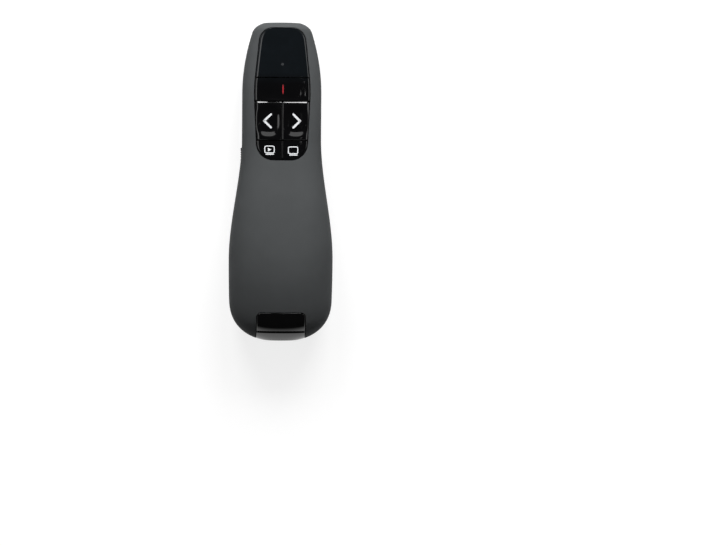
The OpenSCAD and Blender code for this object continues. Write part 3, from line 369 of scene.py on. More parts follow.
class Finish:
    """A new material with one Principled shader, and a method that adds any node to it."""

    def __init__(self, name, **constants):
        self.material = bpy.data.materials.new(name)
        self.material.use_nodes = True
        self.tree = self.material.node_tree
        self.shader = self.tree.nodes["Principled BSDF"]
        for key, value in constants.items():
            self.shader.inputs[key.replace("_", " ")].default_value = value
        self.where = self.node("ShaderNodeTexCoord", out="Object")

    def node(self, kind, settings=None, out=0, **inputs):
        made = self.tree.nodes.new(kind)
        for key, value in (settings or {}).items():
            if key == "stops":
                ramp = made.color_ramp
                while len(ramp.elements) < len(value):
                    ramp.elements.new(0.5)
                for element, (at, colour) in zip(ramp.elements, value):
                    element.position, element.color = at, colour
            else:
                setattr(made, key, value)
        for key, value in inputs.items():
            feed(self.tree, made.inputs[int(key[1:]) if key[1:].isdigit() else key.replace("_", " ")], value)
        return Wire(self.tree, made.outputs[out])

    def noise(self, per_mm, detail=2.0, roughness=0.5, where=None):
        """Soft random values with about per_mm waves in a millimetre."""
        return self.node("ShaderNodeTexNoise", Vector=where or self.where, Scale=per_mm * 1000.0,
                         Detail=detail, Roughness=roughness)

    def ramp(self, value, low, high):
        """0 below low, 1 above high, straight between."""
        return self.node("ShaderNodeMapRange", out=0, Value=value, From_Min=low, From_Max=high)

    def blend(self, mask, a, b):
        """Colour a where the mask is 0 and colour b where it is 1."""
        return self.node("ShaderNodeMix", {"data_type": "RGBA"}, out=2, _0=mask, _6=a, _7=b)

    def axes(self):
        """The x, y and z of the point, in metres, each as a wire."""
        split = self.node("ShaderNodeSeparateXYZ", _0=self.where)
        return [Wire(self.tree, split.socket.node.outputs[k]) for k in range(3)]

    def bump(self, height, strength, distance_mm, normal=None):
        """Small relief that the light sees: height times a distance in millimetres."""
        return self.node("ShaderNodeBump", Height=height, Strength=strength, Distance=distance_mm * MM,
                         Normal=normal)

    def set(self, **inputs):
        for key, value in inputs.items():
            feed(self.tree, self.shader.inputs[key.replace("_", " ")], value)
        return self.material


# %% [markdown]
# ## The soft-touch casing
# The casings are black plastic with a matte rubber lacquer. It scatters light widely, so it reads as a
# dark grey rather than black, and it has a very fine grain. Handling polishes it a little in patches. One
# noise gives the grain as relief, one much larger noise varies colour and roughness.

# %% Soft-touch finish
soft = Finish("soft_touch", Specular_IOR_Level=0.08)
grain = soft.noise(7.0, 3.0, 0.6)
cloud = soft.noise(0.05, 3.0, 0.55)
handled = soft.ramp(cloud, 0.35, 0.7)
SOFT_TOUCH = soft.set(
    Base_Color=soft.blend(handled, srgb(75, 77, 78), srgb(80, 82, 83)),
    Roughness=0.66 - handled * 0.08 + grain * 0.08,
    Normal=soft.bump(grain, 0.35, 0.02),
)

# %% [markdown]
# ## The gloss panel
# The window and the five keys are moulded in gloss black. A clear mirror like that shows mostly what is
# round it. A whisper of relief keeps the reflections from looking computed, and the roughness varies where
# fingertips have been. The window is a shade bluer than the keys: its tint sets in between TINT_FROM and
# TINT_TO, which lie just behind and just ahead of the gap between them.

# %% Gloss finish
gloss = Finish("gloss_panel", Specular_IOR_Level=0.5, Coat_Roughness=0.03)
smear = gloss.ramp(gloss.noise(0.22, 4.0, 0.6), 0.45, 0.75)
wave = gloss.noise(0.09, 1.0, 0.4)
TINT_FROM, TINT_TO = 22, 18
_, along, _ = gloss.axes()
tinted = gloss.ramp(along, (NOSE_Y - TINT_FROM) * MM, (NOSE_Y - TINT_TO) * MM)
GLOSS = gloss.set(
    Base_Color=gloss.blend(smear, gloss.blend(tinted, srgb(5, 5, 6), srgb(13, 17, 20)),
                           gloss.blend(tinted, srgb(7, 7, 8), srgb(16, 20, 24))),
    Roughness=0.07 + smear * 0.06,
    Coat_Weight=0.5,
    Normal=gloss.bump(wave, 0.15, 0.05),
)

# %% [markdown]
# ## Plain plastics, metals and boards
# The pieces inside are seen when the door or the receiver is off, so they get honest finishes as well:
# moulded plastic with a faint grain, nickel and steel with fine brushing, gold contacts, and a circuit
# board whose solder mask shows copper tracks underneath.

# %% Helper finishes
def plastic(name, colour, lighter, rough=0.4, per_mm=4.0):
    """Moulded plastic: two close colours in slow clouds, a grain in relief."""
    made = Finish(name)
    clouds, fine = made.noise(0.12, 3.0), made.noise(per_mm, 2.0)
    return made.set(Base_Color=made.blend(clouds, colour, lighter), Roughness=rough + fine * 0.1,
                    Normal=made.bump(fine, 0.2, 0.02))


def metal(name, colour, darker, rough=0.25, stretch=(1.0, 12.0, 1.0)):
    """Metal with fine brushing: a noise squeezed along one axis moves colour, roughness and relief."""
    made = Finish(name, Metallic=1.0)
    drawn = made.node("ShaderNodeMapping", _0=made.where, _3=stretch)
    lines = made.noise(1.5, 3.0, 0.6, where=drawn)
    return made.set(Base_Color=made.blend(lines, darker, colour), Roughness=rough + lines * 0.12,
                    Normal=made.bump(lines, 0.12, 0.02))


def circuit(name, mask, track, grid_mm=1.4):
    """Solder mask over copper: tracks where a wave on one axis and one on the other leave thin lines."""
    made = Finish(name, Coat_Roughness=0.15)
    x, y, _ = made.axes()
    turn = 2 * np.pi / (grid_mm * MM)
    bend = made.noise(0.08, 0.0) * 9.0
    lines = (x * turn + bend).math("SINE") * (y * (turn * 0.6) + bend).math("SINE")
    tracks = made.ramp(lines, 0.5, 0.6)
    dots = made.ramp(made.node("ShaderNodeTexVoronoi", Vector=made.where, Scale=340.0), 0.30, 0.22)
    pads = made.blend(dots, made.blend(tracks, mask, track), srgb(176, 148, 92))
    return made.set(Base_Color=pads, Roughness=0.35 + dots * 0.1, Coat_Weight=0.4,
                    Normal=made.bump(tracks, 0.3, 0.03))


DARK = plastic("dark_plastic", srgb(30, 30, 32), srgb(38, 38, 40))
IVORY = plastic("ivory_plastic", srgb(214, 209, 192), srgb(226, 222, 208), 0.35)
CHIP = plastic("chip_black", srgb(24, 24, 26), srgb(33, 33, 35), 0.5, 9.0)
CERAMIC = plastic("capacitor_ceramic", srgb(146, 112, 82), srgb(168, 134, 102), 0.45)
BOARD = circuit("board_green", srgb(16, 72, 44), srgb(34, 104, 66))
STEEL = metal("steel", srgb(200, 201, 203), srgb(160, 161, 164))
GOLD = metal("gold", srgb(224, 184, 104), srgb(190, 148, 76), 0.2)


def clear(name, colour, paler, per_mm, rough, passes, bending):
    """Clear plastic or glass: passes is the share of light that goes through, bending is its index."""
    made = Finish(name, Transmission_Weight=passes, IOR=bending)
    return made.set(Base_Color=made.blend(made.noise(per_mm), colour, paler), Roughness=rough)


PALE_GLASS = clear("clear_plastic", srgb(236, 238, 240), srgb(246, 247, 248), 0.3, 0.08, 0.9, 1.49)
LASER_GLASS = clear("laser_glass", srgb(60, 10, 16), srgb(84, 16, 24), 0.5, 0.05, 0.6, 1.52)


def printed(name, colour, worn, rough=0.45):
    """Printing ink: nearly one colour, a shade thinner in places."""
    made = Finish(name)
    thin = made.ramp(made.noise(1.2, 3.0, 0.6), 0.55, 0.8)
    return made.set(Base_Color=made.blend(thin, colour, worn), Roughness=rough + thin * 0.1)


SMOKE = printed("smoke_print", srgb(36, 38, 41), srgb(30, 32, 35))
WHITE_INK = printed("white_print", srgb(236, 238, 240), srgb(214, 217, 220))
# The red line is full in its middle and fades towards both ends
RED_MIDDLE, FADE_FROM, FADE_TO = 24.1, 0.9, 1.7
red = Finish("red_print", Roughness=0.4)
_, along, _ = red.axes()
faded = red.ramp((along - (NOSE_Y - RED_MIDDLE) * MM).math("ABSOLUTE"), FADE_FROM * MM, FADE_TO * MM)
RED_INK = red.set(Base_Color=red.blend(faded, srgb(160, 30, 40), srgb(80, 16, 22)))
print("finishes:", len(bpy.data.materials))

# %% [markdown]
# ## The outline of the key panel
# The panel is a long shield: narrow at the nose, widest at the laser key, with big round corners at the
# rear. Its outline is a polygon whose corners are replaced by arcs. The well in the casing, the window and
# the keys all take this one outline, each set in by its own gap, so the gaps stay even.

# %% Panel outline
PANEL_START, PANEL_WIDE, PANEL_END = 1.9, 24.15, 49.8
FRONT_HALF, SIDE_HALF, REAR_HALF = 8.1, 10.35, 9.1
FRONT_ROUND, SIDE_ROUND, REAR_ROUND = 5.2, 60.0, 6.2
WINDOW_END, LASER_END, TURN_END = 19.9, 28.4, 42.5
WINDOW_GAP, KEY_GAP, KEY_SPLIT = 0.12, 0.25, 0.3
DECK_TOP, DECK_Z, KEY_FLOOR, FRAME_Z, PLUNGER_TOP = 18.3, 17.3, 17.5, 15.9, 15.1


def resample(x, s, count, closed=True):
    """The same line with count points at even steps along it."""
    if closed:
        x, s = np.append(x, x[0]), np.append(s, s[0])
    walk = np.concatenate([[0], np.cumsum(np.hypot(np.diff(x), np.diff(s)))])
    at = np.linspace(0, walk[-1], count + closed)[: count]
    return np.interp(at, walk, x), np.interp(at, walk, s)


def panel_outline(inset, count=1600):
    """The shield's outline: each corner's two sides are joined by an arc that touches both."""
    front, side, rear = FRONT_HALF - inset, SIDE_HALF - inset, REAR_HALF - inset
    start, end = PANEL_START + inset, PANEL_END - inset
    corner = np.array([[front, start], [side, PANEL_WIDE], [rear, end],
                       [-rear, end], [-side, PANEL_WIDE], [-front, start]])
    front_round, rear_round = FRONT_ROUND - inset, REAR_ROUND - inset
    radius = np.array([front_round, SIDE_ROUND, rear_round, rear_round, SIDE_ROUND, front_round])
    xs, ss = [], []
    for k, point in enumerate(corner):
        a, b = corner[k - 1] - point, corner[(k + 1) % 6] - point
        a, b = a / np.linalg.norm(a), b / np.linalg.norm(b)
        half = np.arccos(np.clip(a @ b, -1, 1)) / 2
        middle = point + (a + b) / np.linalg.norm(a + b) * radius[k] / np.sin(half)
        first, last = point + a * radius[k] / np.tan(half), point + b * radius[k] / np.tan(half)
        u = np.linspace(0, 1, 60)[:, None]
        turn = (np.pi - 2 * half)
        ray = ((first - middle) * np.sin((1 - u) * turn) + (last - middle) * np.sin(u * turn)) / np.sin(turn)
        arc = middle + ray
        xs.append(arc[:, 0])
        ss.append(arc[:, 1])
    return resample(np.concatenate(xs), np.concatenate(ss), count)


def panel_half(s, inset):
    """Half the panel's width at s, read off the outline's right side."""
    x, along = panel_outline(inset)
    right = x > 0
    order = np.argsort(along[right])
    return np.interp(s, along[right][order], x[right][order])


outline_x, outline_s = panel_outline(0.0)
print(f"panel outline {np.hypot(np.diff(outline_x), np.diff(outline_s)).sum():.0f} long")

# %% [markdown]
# ## Rays: how the casings get their surface
# A casing half could be lofted from rings, but then the well for the keys would have to be sawn out and its
# rim would be hard. Instead each half is a fan of rays seen from above. A ray starts on the body's
# outline and runs to the nearest point of the panel's rim (top) or of the middle line (bottom). Along
# every ray the same closed profile is drawn: a broken edge at the seam, the outer skin, a rounded lip, and
# the inner skin on the way back. The rim and the seam then come out with real radii.

# %% Body outline and rays
def body_outline(count):
    """Closed plan outline from the half width; points lie closer where the line turns."""
    s = LENGTH * (1 - np.cos(np.linspace(0, np.pi, 8001))) / 2
    w = half_width(s)
    step = np.hypot(np.diff(w), np.diff(s))
    angle = np.unwrap(np.arctan2(np.diff(w), np.diff(s)))
    walk = np.concatenate([[0], np.cumsum(step + 4.0 * np.abs(np.diff(angle, append=angle[-1])))])
    at = np.linspace(0, walk[-1], count // 2 + 1)
    w, s = np.interp(at, walk, w), np.interp(at, walk, s)
    return np.concatenate([w, -w[-2:0:-1]]), np.concatenate([s, s[-2:0:-1]])


def inward_normals(x, s):
    """Unit vectors across a closed line, pointing to its inside."""
    tx, ts = np.roll(x, -1) - np.roll(x, 1), np.roll(s, -1) - np.roll(s, 1)
    size = np.hypot(tx, ts)
    area = np.sum(x * np.roll(s, -1) - np.roll(x, -1) * s)
    flip = 1.0 if area > 0 else -1.0
    return -ts / size * flip, tx / size * flip


def even_along(points, count):
    """Each row of 3-D points respaced to count points at even steps along its own line."""
    step = np.linalg.norm(np.diff(points, axis=1), axis=2) + 1e-9
    walk = np.concatenate([np.zeros((len(points), 1)), np.cumsum(step, 1)], 1)
    at = walk[:, -1:] * np.linspace(0, 1, count)[None, :]
    row = np.arange(len(points))[:, None]
    k = np.clip((walk[:, None, :] <= at[:, :, None]).sum(2) - 1, 0, points.shape[1] - 2)
    u = ((at - walk[row, k]) / (walk[row, k + 1] - walk[row, k]))[..., None]
    return points[row, k] * (1 - u) + points[row, k + 1] * u


def quarter(radius, steps=5):
    """Across and down offsets of a quarter circle, from its top to its side."""
    a = np.linspace(0, np.pi / 2, steps)
    return radius * (1 - np.sin(a)), radius * (1 - np.cos(a))


# A ray is first drawn in SKIN_STEPS, crowded towards the seam, where the skin is steepest
RAYS, SKIN_STEPS, SKIN_CROWD = 560, 240, 2.6
edge_x, edge_s = body_outline(RAYS)
edge_nx, edge_ns = inward_normals(edge_x, edge_s)
print(f"{len(edge_x)} rays round the body")

# %% [markdown]
# ### The top casing
# Its rays end on the rim of the panel's well, where the skin rolls over a small lip and drops as the
# well's wall. The deck under the window closes the well in front. The notch in the tail, where the receiver
# goes in, is sawn out afterwards because it cuts straight across the flow of the surface.

# %% Top casing
LIP, BREAK = 0.15, 0.2
COLLAR, RECEIVER_HALF, CAP_START, CAP_CORNER = 1.1, 8.8, 104.7, 1.7


def top_shell():
    """Closed profile on each ray: seam edge, outer skin, lip, well wall, collar, inner skin, rim."""
    nearest = np.argmin((edge_x[:, None] - outline_x) ** 2 + (edge_s[:, None] - outline_s) ** 2, 1)
    qx, qs = outline_x[nearest], outline_s[nearest]
    reach = np.hypot(qx - edge_x, qs - edge_s)
    dx, ds = (qx - edge_x) / reach, (qs - edge_s) / reach
    seam_z = PART_Z + SEAM / 2
    u = np.linspace(0, 1, SKIN_STEPS) ** SKIN_CROWD
    far = reach[:, None] - LIP
    x, s = edge_x[:, None] + dx[:, None] * far * u, edge_s[:, None] + ds[:, None] * far * u
    outer = np.stack([x, s, np.maximum(skin(x, s, True), seam_z + BREAK)], -1)
    outer = even_along(outer, 84)
    across, down = quarter(LIP)
    lip_z = outer[:, -1, 2][:, None] - down[None, 1:]
    lip_x = qx[:, None] - dx[:, None] * across[None, 1:]
    lip_s = qs[:, None] - ds[:, None] * across[None, 1:]
    lip = np.stack([lip_x, lip_s, lip_z], -1)
    steps = np.linspace(0, np.pi / 2, 5)[:-1]
    in_by, up_by = BREAK * (1 - np.sin(steps)), BREAK * (1 - np.cos(steps))
    edge = np.stack([edge_x[:, None] + edge_nx[:, None] * in_by, edge_s[:, None] + edge_ns[:, None] * in_by,
                     np.broadcast_to(seam_z + up_by, (len(edge_x), 4))], -1)
    collar = np.minimum(COLLAR, 0.4 * reach)
    rim = np.minimum(WALL, 0.4 * reach)
    t = np.linspace(0, 1, 26)[None, :]
    back = collar[:, None] + (reach - collar - rim)[:, None] * t
    ix, isx = qx[:, None] - dx[:, None] * back, qs[:, None] - ds[:, None] * back
    inner_z = np.maximum(skin(ix, isx, True, WALL), seam_z + 0.001)
    inner_z = np.minimum(inner_z, skin(ix, isx, True) - 0.5)
    inner = np.stack([ix, isx, np.maximum(inner_z, seam_z)], -1)
    well = np.stack([np.stack([qx, qs, np.full_like(qx, DECK_Z)], -1),
                     np.stack([qx - dx * collar, qs - ds * collar, np.full_like(qx, DECK_Z)], -1)], 1)
    rim_end = inner[:, -1:, :].copy()
    rim_end[..., 2] = seam_z
    profile = np.concatenate([edge, outer, lip, well, inner, rim_end], 1)
    points = place(profile[..., 0], profile[..., 1], profile[..., 2])
    return outward(points, [grid_faces(len(edge_x), profile.shape[1], True, True)])


top_piece = mesh_object("top_shell", top_shell())
deck_x, deck_s = panel_outline(-0.5, 240)
inside = deck_s < WINDOW_END - 0.15
deck = prism(deck_x[inside], deck_s[inside], DECK_Z + 0.01, DECK_TOP)


def cap_outline(gap, end, count=16):
    """Plan of the receiver's end: square towards the tail, with two round corners inside the casing."""
    turn = np.linspace(0, np.pi / 2, count)
    corner = CAP_CORNER + gap
    x = RECEIVER_HALF - CAP_CORNER + corner * np.cos(turn)
    s = CAP_START + CAP_CORNER - corner * np.sin(turn)
    half_x, half_s = np.append(RECEIVER_HALF + gap, x), np.append(end, s)
    return np.concatenate([half_x, -half_x[::-1]]), np.concatenate([half_s, half_s[::-1]])


notch = prism(*cap_outline(0.2, LENGTH + 5), PART_Z - 3, 40)
trim(top_piece, deck, "UNION")
trim(top_piece, notch)
carry(top_piece, "casing", SOFT_TOUCH, ["top_casing"])

# %% [markdown]
# ### The bottom casing
# Its rays end on the middle line, so left and right meet there and the doubles are merged. Underneath it
# has the opening for the battery door, four deep screw holes, the hole for the laser's bezel in the nose
# and the slot for the power slider in its side. Each screw sits in a hollow post. Adding a solid post and
# then boring it would leave two cuts that share a wall, which a Boolean gets wrong now and then. So the
# wall is bored first, a hair wider, and the post that is added is hollow already.

# %% Bottom casing
DOOR_HALF, DOOR_START, DOOR_GAP, DOOR_ROLL = 11.6, 57.0, 0.15, 0.25
BEZEL_RADIUS, LASER_Z = 2.9, 10.2
SPINE = (12.0, 103.0)  # where the middle line starts and ends


def bottom_shell():
    """Profile on each ray: inner skin out to the rim, seam edge, outer skin back to the middle line."""
    qx, qs = np.zeros_like(edge_x), np.clip(edge_s, *SPINE)
    dx, ds = qx - edge_x, qs - edge_s
    seam_z = PART_Z - SEAM / 2
    u = np.linspace(0, 1, SKIN_STEPS)[None, :] ** SKIN_CROWD
    x, s = edge_x[:, None] + dx[:, None] * u, edge_s[:, None] + ds[:, None] * u
    outer = even_along(np.stack([x, s, np.minimum(skin(x, s, False), seam_z - BREAK)], -1), 110)
    steps = np.linspace(0, np.pi / 2, 5)[1:]
    in_by, up_by = BREAK * (1 - np.cos(steps)), BREAK * np.sin(steps)
    edge = np.stack([edge_x[:, None] + edge_nx[:, None] * in_by, edge_s[:, None] + edge_ns[:, None] * in_by,
                     np.broadcast_to(seam_z - BREAK + up_by, (len(edge_x), 4))], -1)
    reach = np.hypot(dx, ds)
    t = (1 - np.minimum(WALL / reach, 0.45))[:, None] * np.linspace(1, 0, 34)[None, :] ** 0.6
    ix, isx = qx[:, None] - dx[:, None] * t, qs[:, None] - ds[:, None] * t
    inner_z = np.maximum(skin(ix, isx, False, WALL), skin(ix, isx, False) + 0.8)
    inner = np.stack([ix, isx, np.minimum(inner_z, seam_z)], -1)
    rim = inner[:, :1, :].copy()
    rim[..., 2] = seam_z
    profile = np.concatenate([outer[:, ::-1], edge, rim, inner], 1)
    points = place(profile[..., 0], profile[..., 1], profile[..., 2])
    return outward(points, [grid_faces(len(edge_x), profile.shape[1], True, False)])


bottom_piece = mesh_object("bottom_shell", bottom_shell())
weld(bottom_piece)
SCREW_HEAD, HEAD_HOLE, HOLE_TOP = 1.6, 1.75, 8.3
NOSE_SCREWS = (8.2, 9.0)
HIP_SCREWS = (box_mm("case_screws")[1][0] - SCREW_HEAD, 98.0)
SCREWS = [(x, s) for far, s in (NOSE_SCREWS, HIP_SCREWS) for x in (far, -far)]


def post(x, s, outer=2.5, shank=0.95, sides=48):
    """A hollow post round a screw: its foot ends in the middle of the casing's wall, and follows it."""
    turn = np.linspace(0, 2 * np.pi, sides, endpoint=False)
    across, along = np.cos(turn), np.sin(turn)
    wall = lambda r, inset: skin(x + r * across, s + r * along, False, inset)
    feet = [(wall(r, 0.0) + wall(r, WALL)) / 2 for r in (outer, HEAD_HOLE)]
    rings = [(outer, feet[0]), (outer, PART_Z - 0.1), (shank, PART_Z - 0.1),
             (shank, HOLE_TOP), (HEAD_HOLE, HOLE_TOP), (HEAD_HOLE, feet[1])]
    points = np.concatenate([place(x + r * across, s + r * along, z) for r, z in rings])
    return outward(points, [grid_faces(len(rings), sides, True, True)])


bore = [(HEAD_HOLE + 0.05, -2.0), (HEAD_HOLE + 0.05, HOLE_TOP + 0.3)]
trim(bottom_piece, stack(*[lathe(bore, (x, s, 0.0)) for x, s in SCREWS]))
trim(bottom_piece, stack(*[post(x, s) for x, s in SCREWS]), "UNION")
trim(bottom_piece, bar((-DOOR_HALF, DOOR_HALF), (DOOR_START, LENGTH + 5), (-5, PART_Z + 1)))
trim(bottom_piece, lathe([(BEZEL_RADIUS + 0.02, -2.0), (BEZEL_RADIUS + 0.02, 3.0)], (0, 0, LASER_Z), "s"))
SLOT_AHEAD, SLOT_BEHIND = 4.65, 2.65  # half the slider and a gap, and ahead of it 2 mm of travel as well
slider_low, slider_high = box_mm("power_slider")
slider_s = NOSE_Y - (slider_low[1] + slider_high[1]) / 2
slot_s = (slider_s - SLOT_AHEAD, slider_s + SLOT_BEHIND)
trim(bottom_piece, bar((slider_low[0] - 2, slider_low[0] + 1.2), slot_s, (slider_low[2] - 0.15, PART_Z + 1)))
carry(bottom_piece, "casing", SOFT_TOUCH, ["bottom_casing"])

# %% [markdown]
# ## Caps with rounded edges
# The window, the keys, the battery door and the receiver's cap are all plates whose face follows the body.
# Each is a grid over its plan. Near every border the face rolls down along a quarter circle. Where two
# borders meet, the two depths add like the sides of a right triangle, and a point that would lie beyond the
# rounded corner is pulled back onto it. So corners come out rounded in plan and in height.

# %% Plate helper
def spread(low, high, edge, count):
    """Values from low to high: close together within edge of both ends, even between."""
    a = edge * (1 - np.cos(np.linspace(0, np.pi / 2, 7)))
    middle = np.linspace(low + edge, high - edge, count)
    return np.concatenate([low + a[:-1], middle, (high - a[:-1])[::-1]])


def line_border(nx, ns, offset, wide, deep=None):
    """A straight border: distance is nx x + ns s - offset. Its roll is wide across and deep down."""
    return lambda x, s: (nx * x + ns * s - offset, np.full_like(x, nx), np.full_like(x, ns),
                         wide(x) if callable(wide) else wide, deep)


def four_borders(x0, x1, s0, s1, wide):
    """The four straight borders of a rectangle, all with the same roll."""
    return [line_border(1, 0, x0, wide), line_border(-1, 0, -x1, wide),
            line_border(0, 1, s0, wide), line_border(0, -1, -s1, wide)]


def curve_border(curve_x, curve_s, wide, deep=None, ahead=None):
    """A border along a closed line, measured across it. Its roll is ahead wide where it faces the nose."""
    nx, ns = inward_normals(curve_x, curve_s)

    def border(x, s):
        flat_x, flat_s = x.ravel(), s.ravel()
        k = np.concatenate([np.argmin((a[:, None] - curve_x) ** 2 + (b[:, None] - curve_s) ** 2, 1)
                            for a, b in zip(np.array_split(flat_x, 24), np.array_split(flat_s, 24))])
        d = (flat_x - curve_x[k]) * nx[k] + (flat_s - curve_s[k]) * ns[k]
        here = wide if ahead is None else mix(wide, ahead, np.clip(ns[k], 0, 1) ** 2).reshape(x.shape)
        return d.reshape(x.shape), nx[k].reshape(x.shape), ns[k].reshape(x.shape), here, deep
    return border


def closed(upper, lower, shape):
    """A grid of points, the same grid lower down, and the rim that joins them all round."""
    rows, columns = shape
    count = rows * columns
    number = np.arange(count).reshape(shape)
    ring = np.concatenate([number[0, :], number[1:, -1], number[-1, -2::-1], number[-2:0:-1, 0]])
    following = np.roll(ring, -1)
    rim = np.stack([ring, ring + count, following + count, following], -1)
    cells = grid_faces(rows, columns)
    return outward(np.concatenate([upper, lower]), [cells[:, ::-1], cells + count, rim])


def plate(x, s, face, floor, borders, bevel=0.0):
    """A closed plate: face height over a plan grid, rolled borders, straight sides and a floor.

    The roll is a quarter circle at bevel 0 and a straight slope at bevel 1.
    """
    found = [border(x, s) for border in borders]
    depths = [np.clip(1 - d / wide, 0, None) for d, _, _, wide, _ in found]
    total = sum(e**2 for e in depths)
    rho = np.sqrt(total)
    pull = np.where(rho > 1, 1 - 1 / np.maximum(rho, 1), 0.0)
    moved = [(nx * e * pull * wide, ns * e * pull * wide) for e, (_, nx, ns, wide, _) in zip(depths, found)]
    roll = sum(e**2 * (wide if deep is None else deep) for e, (_, _, _, wide, deep) in zip(depths, found))
    x, s = x + sum(m[0] for m in moved), s + sum(m[1] for m in moved)
    rho = np.clip(rho, 0, 1)
    drop = roll / np.maximum(total, 1e-12) * mix(1 - np.sqrt(1 - rho**2), rho, bevel)
    z = face(x, s) - drop
    floor_z = floor(x, s) if callable(floor) else np.full_like(z, floor)
    return closed(place(x, s, z), place(x, s, floor_z), x.shape)


def between(s, left, right, edge, count):
    """Rows of x from left(s) to right(s), close together near both ends."""
    u = spread(0.0, 1.0, edge, count)
    l, r = left(s), right(s)
    return l[:, None] + (r - l)[:, None] * u[None, :], np.broadcast_to(s[:, None], (len(s), len(u))).copy()


def body_top(x, s):
    """The casing's own top face."""
    return skin(x, s, True)


# %% [markdown]
# ## Window
# The window lies in the panel's nose end and covers the laser and the status light. Its face is the
# body's own, set a hair low, with a broad soft shoulder to the sides, where it catches a line of light.

# %% Window
def window_part():
    s = spread(PANEL_START + WINDOW_GAP, WINDOW_END - KEY_SPLIT / 2, 0.5, 110)
    half = lambda at: panel_half(at, WINDOW_GAP)
    x, s = between(s, lambda at: -half(at), half, 0.03, 120)
    borders = [curve_border(*panel_outline(WINDOW_GAP), 1.4, 0.5, 0.05),
               line_border(0, -1, -(WINDOW_END - 0.15), 0.12)]
    return plate(x, s, lambda a, b: body_top(a, np.maximum(b, 2.6)) - 0.03, DECK_TOP, borders)


carry(mesh_object("window", window_part(), 50), "casing", GLOSS, ["window_lens"])

# %% [markdown]
# ## Keys
# Each key is a plate in its own cell of the panel. The back and forward keys have a deep oval dish, so a
# thumb finds them without looking, and a sloped front edge that catches the light. The laser key has a
# shallow tray along its length. The two small keys are plain, with rolled edges. The snap stem under each
# key, and the guide pins of the long one, are what holds a key in its frame.

# %% Key faces
def dish(x, s, cx, cs, rx, rs, depth, power=2.6, flat=0.6):
    """A hollow: its floor is level out to the flat share of a rounded rectangle, then eases up to the rim."""
    rho = (np.abs((x - cx) / rx) ** power + np.abs((s - cs) / rs) ** power) ** (1 / power)
    return depth * (1 - ease((rho - flat) / (1 - flat)))


def cap_part(left, right, start, end, face, front=0.08, front_deep=0.2, count=(80, 80), bevel=0.0):
    """A key's cap: cell borders at half a split from its neighbours, the panel's outline outside."""
    half = KEY_SPLIT / 2
    lo, hi = start + half, min(end - half, PANEL_END - KEY_GAP)
    s = spread(lo, hi, 0.4, count[1])
    side = lambda at: panel_half(at, KEY_GAP)
    x_left = (lambda at: -side(at)) if left is None else (lambda at: np.full_like(at, left + half))
    x_right = side if right is None else (lambda at: np.full_like(at, right - half))
    x, s = between(s, x_left, x_right, 0.04, count[0])
    borders = [curve_border(*panel_outline(KEY_GAP), 1.0, 0.4), line_border(0, 1, lo, front, front_deep)]
    if end < PANEL_END:
        borders.append(line_border(0, -1, -hi, 0.2))
    if left is not None:
        borders.append(line_border(1, 0, left + half, 0.35, 0.17))
    if right is not None:
        borders.append(line_border(-1, 0, -(right - half), 0.35, 0.17))
    return plate(x, s, face, KEY_FLOOR, borders, bevel)


def stems(stem, guides):
    """The snap stem with its wider foot, and the guide pins, as turned parts under the cap."""
    foot = lathe([(1.5, PLUNGER_TOP), (1.9, PLUNGER_TOP + 0.3), (1.9, FRAME_Z), (1.3, FRAME_Z),
                  (1.3, KEY_FLOOR + 0.2)], (stem[0], stem[1], 0.0), sides=32)
    pins = [lathe([(0.65, FRAME_Z), (0.8, FRAME_Z + 0.15), (0.8, KEY_FLOOR + 0.2)], (x, s, 0.0), sides=24)
            for x, s in guides]
    return [foot, *pins]


def laser_face(x, s):
    """A shallow tray, nearly square, along the whole key."""
    return body_top(x, s) - dish(x, s, 0.0, PANEL_WIDE, rx=9.3, rs=4.1, depth=0.14, power=7.0, flat=0.72)


def turn_face(side):
    """A deep oval dish for the thumb, on the left (-1) or on the right (1)."""
    return lambda x, s: body_top(x, s) - dish(x, s, side * 4.9, 35.4, rx=4.6, rs=6.3, depth=0.6, power=3.0,
                                              flat=0.55)


def show_face(x, s):
    """The small keys lie a hair lower than the casing."""
    return body_top(x, s) - 0.05


def front_slope(x):
    """The sloped front edge of the back and forward keys is wider towards its outer end."""
    return 0.4 + 0.2 * ease((np.abs(x) - 5.0) / 4.5)


STEM_X, TURN_STEM, SMALL_STEM = 5.175, 35.45, 46.0
slope = {"front": front_slope, "front_deep": 0.26, "bevel": 0.75}
KEYS = {
    "laser_key": (cap_part(None, None, WINDOW_END, LASER_END, laser_face, 0.05, 0.25, (150, 56)),
                  (0.0, PANEL_WIDE), [(-7.4, PANEL_WIDE), (7.4, PANEL_WIDE)]),
    "back_key": (cap_part(None, 0.0, LASER_END, TURN_END, turn_face(-1), **slope), (-STEM_X, TURN_STEM), []),
    "forward_key": (cap_part(0.0, None, LASER_END, TURN_END, turn_face(1), **slope), (STEM_X, TURN_STEM), []),
    "slideshow_key": (cap_part(None, 0.0, TURN_END, PANEL_END + 1, show_face), (-STEM_X, SMALL_STEM), []),
    "blank_key": (cap_part(0.0, None, TURN_END, PANEL_END + 1, show_face), (STEM_X, SMALL_STEM), []),
}
for key, (cap, stem, guides) in KEYS.items():
    piece = mesh_object(key.replace("_key", "_keycap"), stack(cap, *stems(stem, guides)), 50)
    carry(piece, key, GLOSS, [key])

# %% [markdown]
# ## Printed marks
# The marks are thin ink on the keys: a chevron back and a chevron forward, a screen with a play triangle,
# an empty screen, and a short red line on the laser key. A small dark disc marks the status light. Most are
# strokes with round ends. Each is laid on the key's face with a hair of thickness, so it bends with the dish
# and moves with its key.

# %% Ink strokes
INK = 0.02


def ink_on(face, x, s):
    """A closed film over plan points in rows: its top INK above the face, its underside just below it."""
    return closed(place(x, s, face(x, s) + INK), place(x, s, face(x, s) - INK), x.shape)


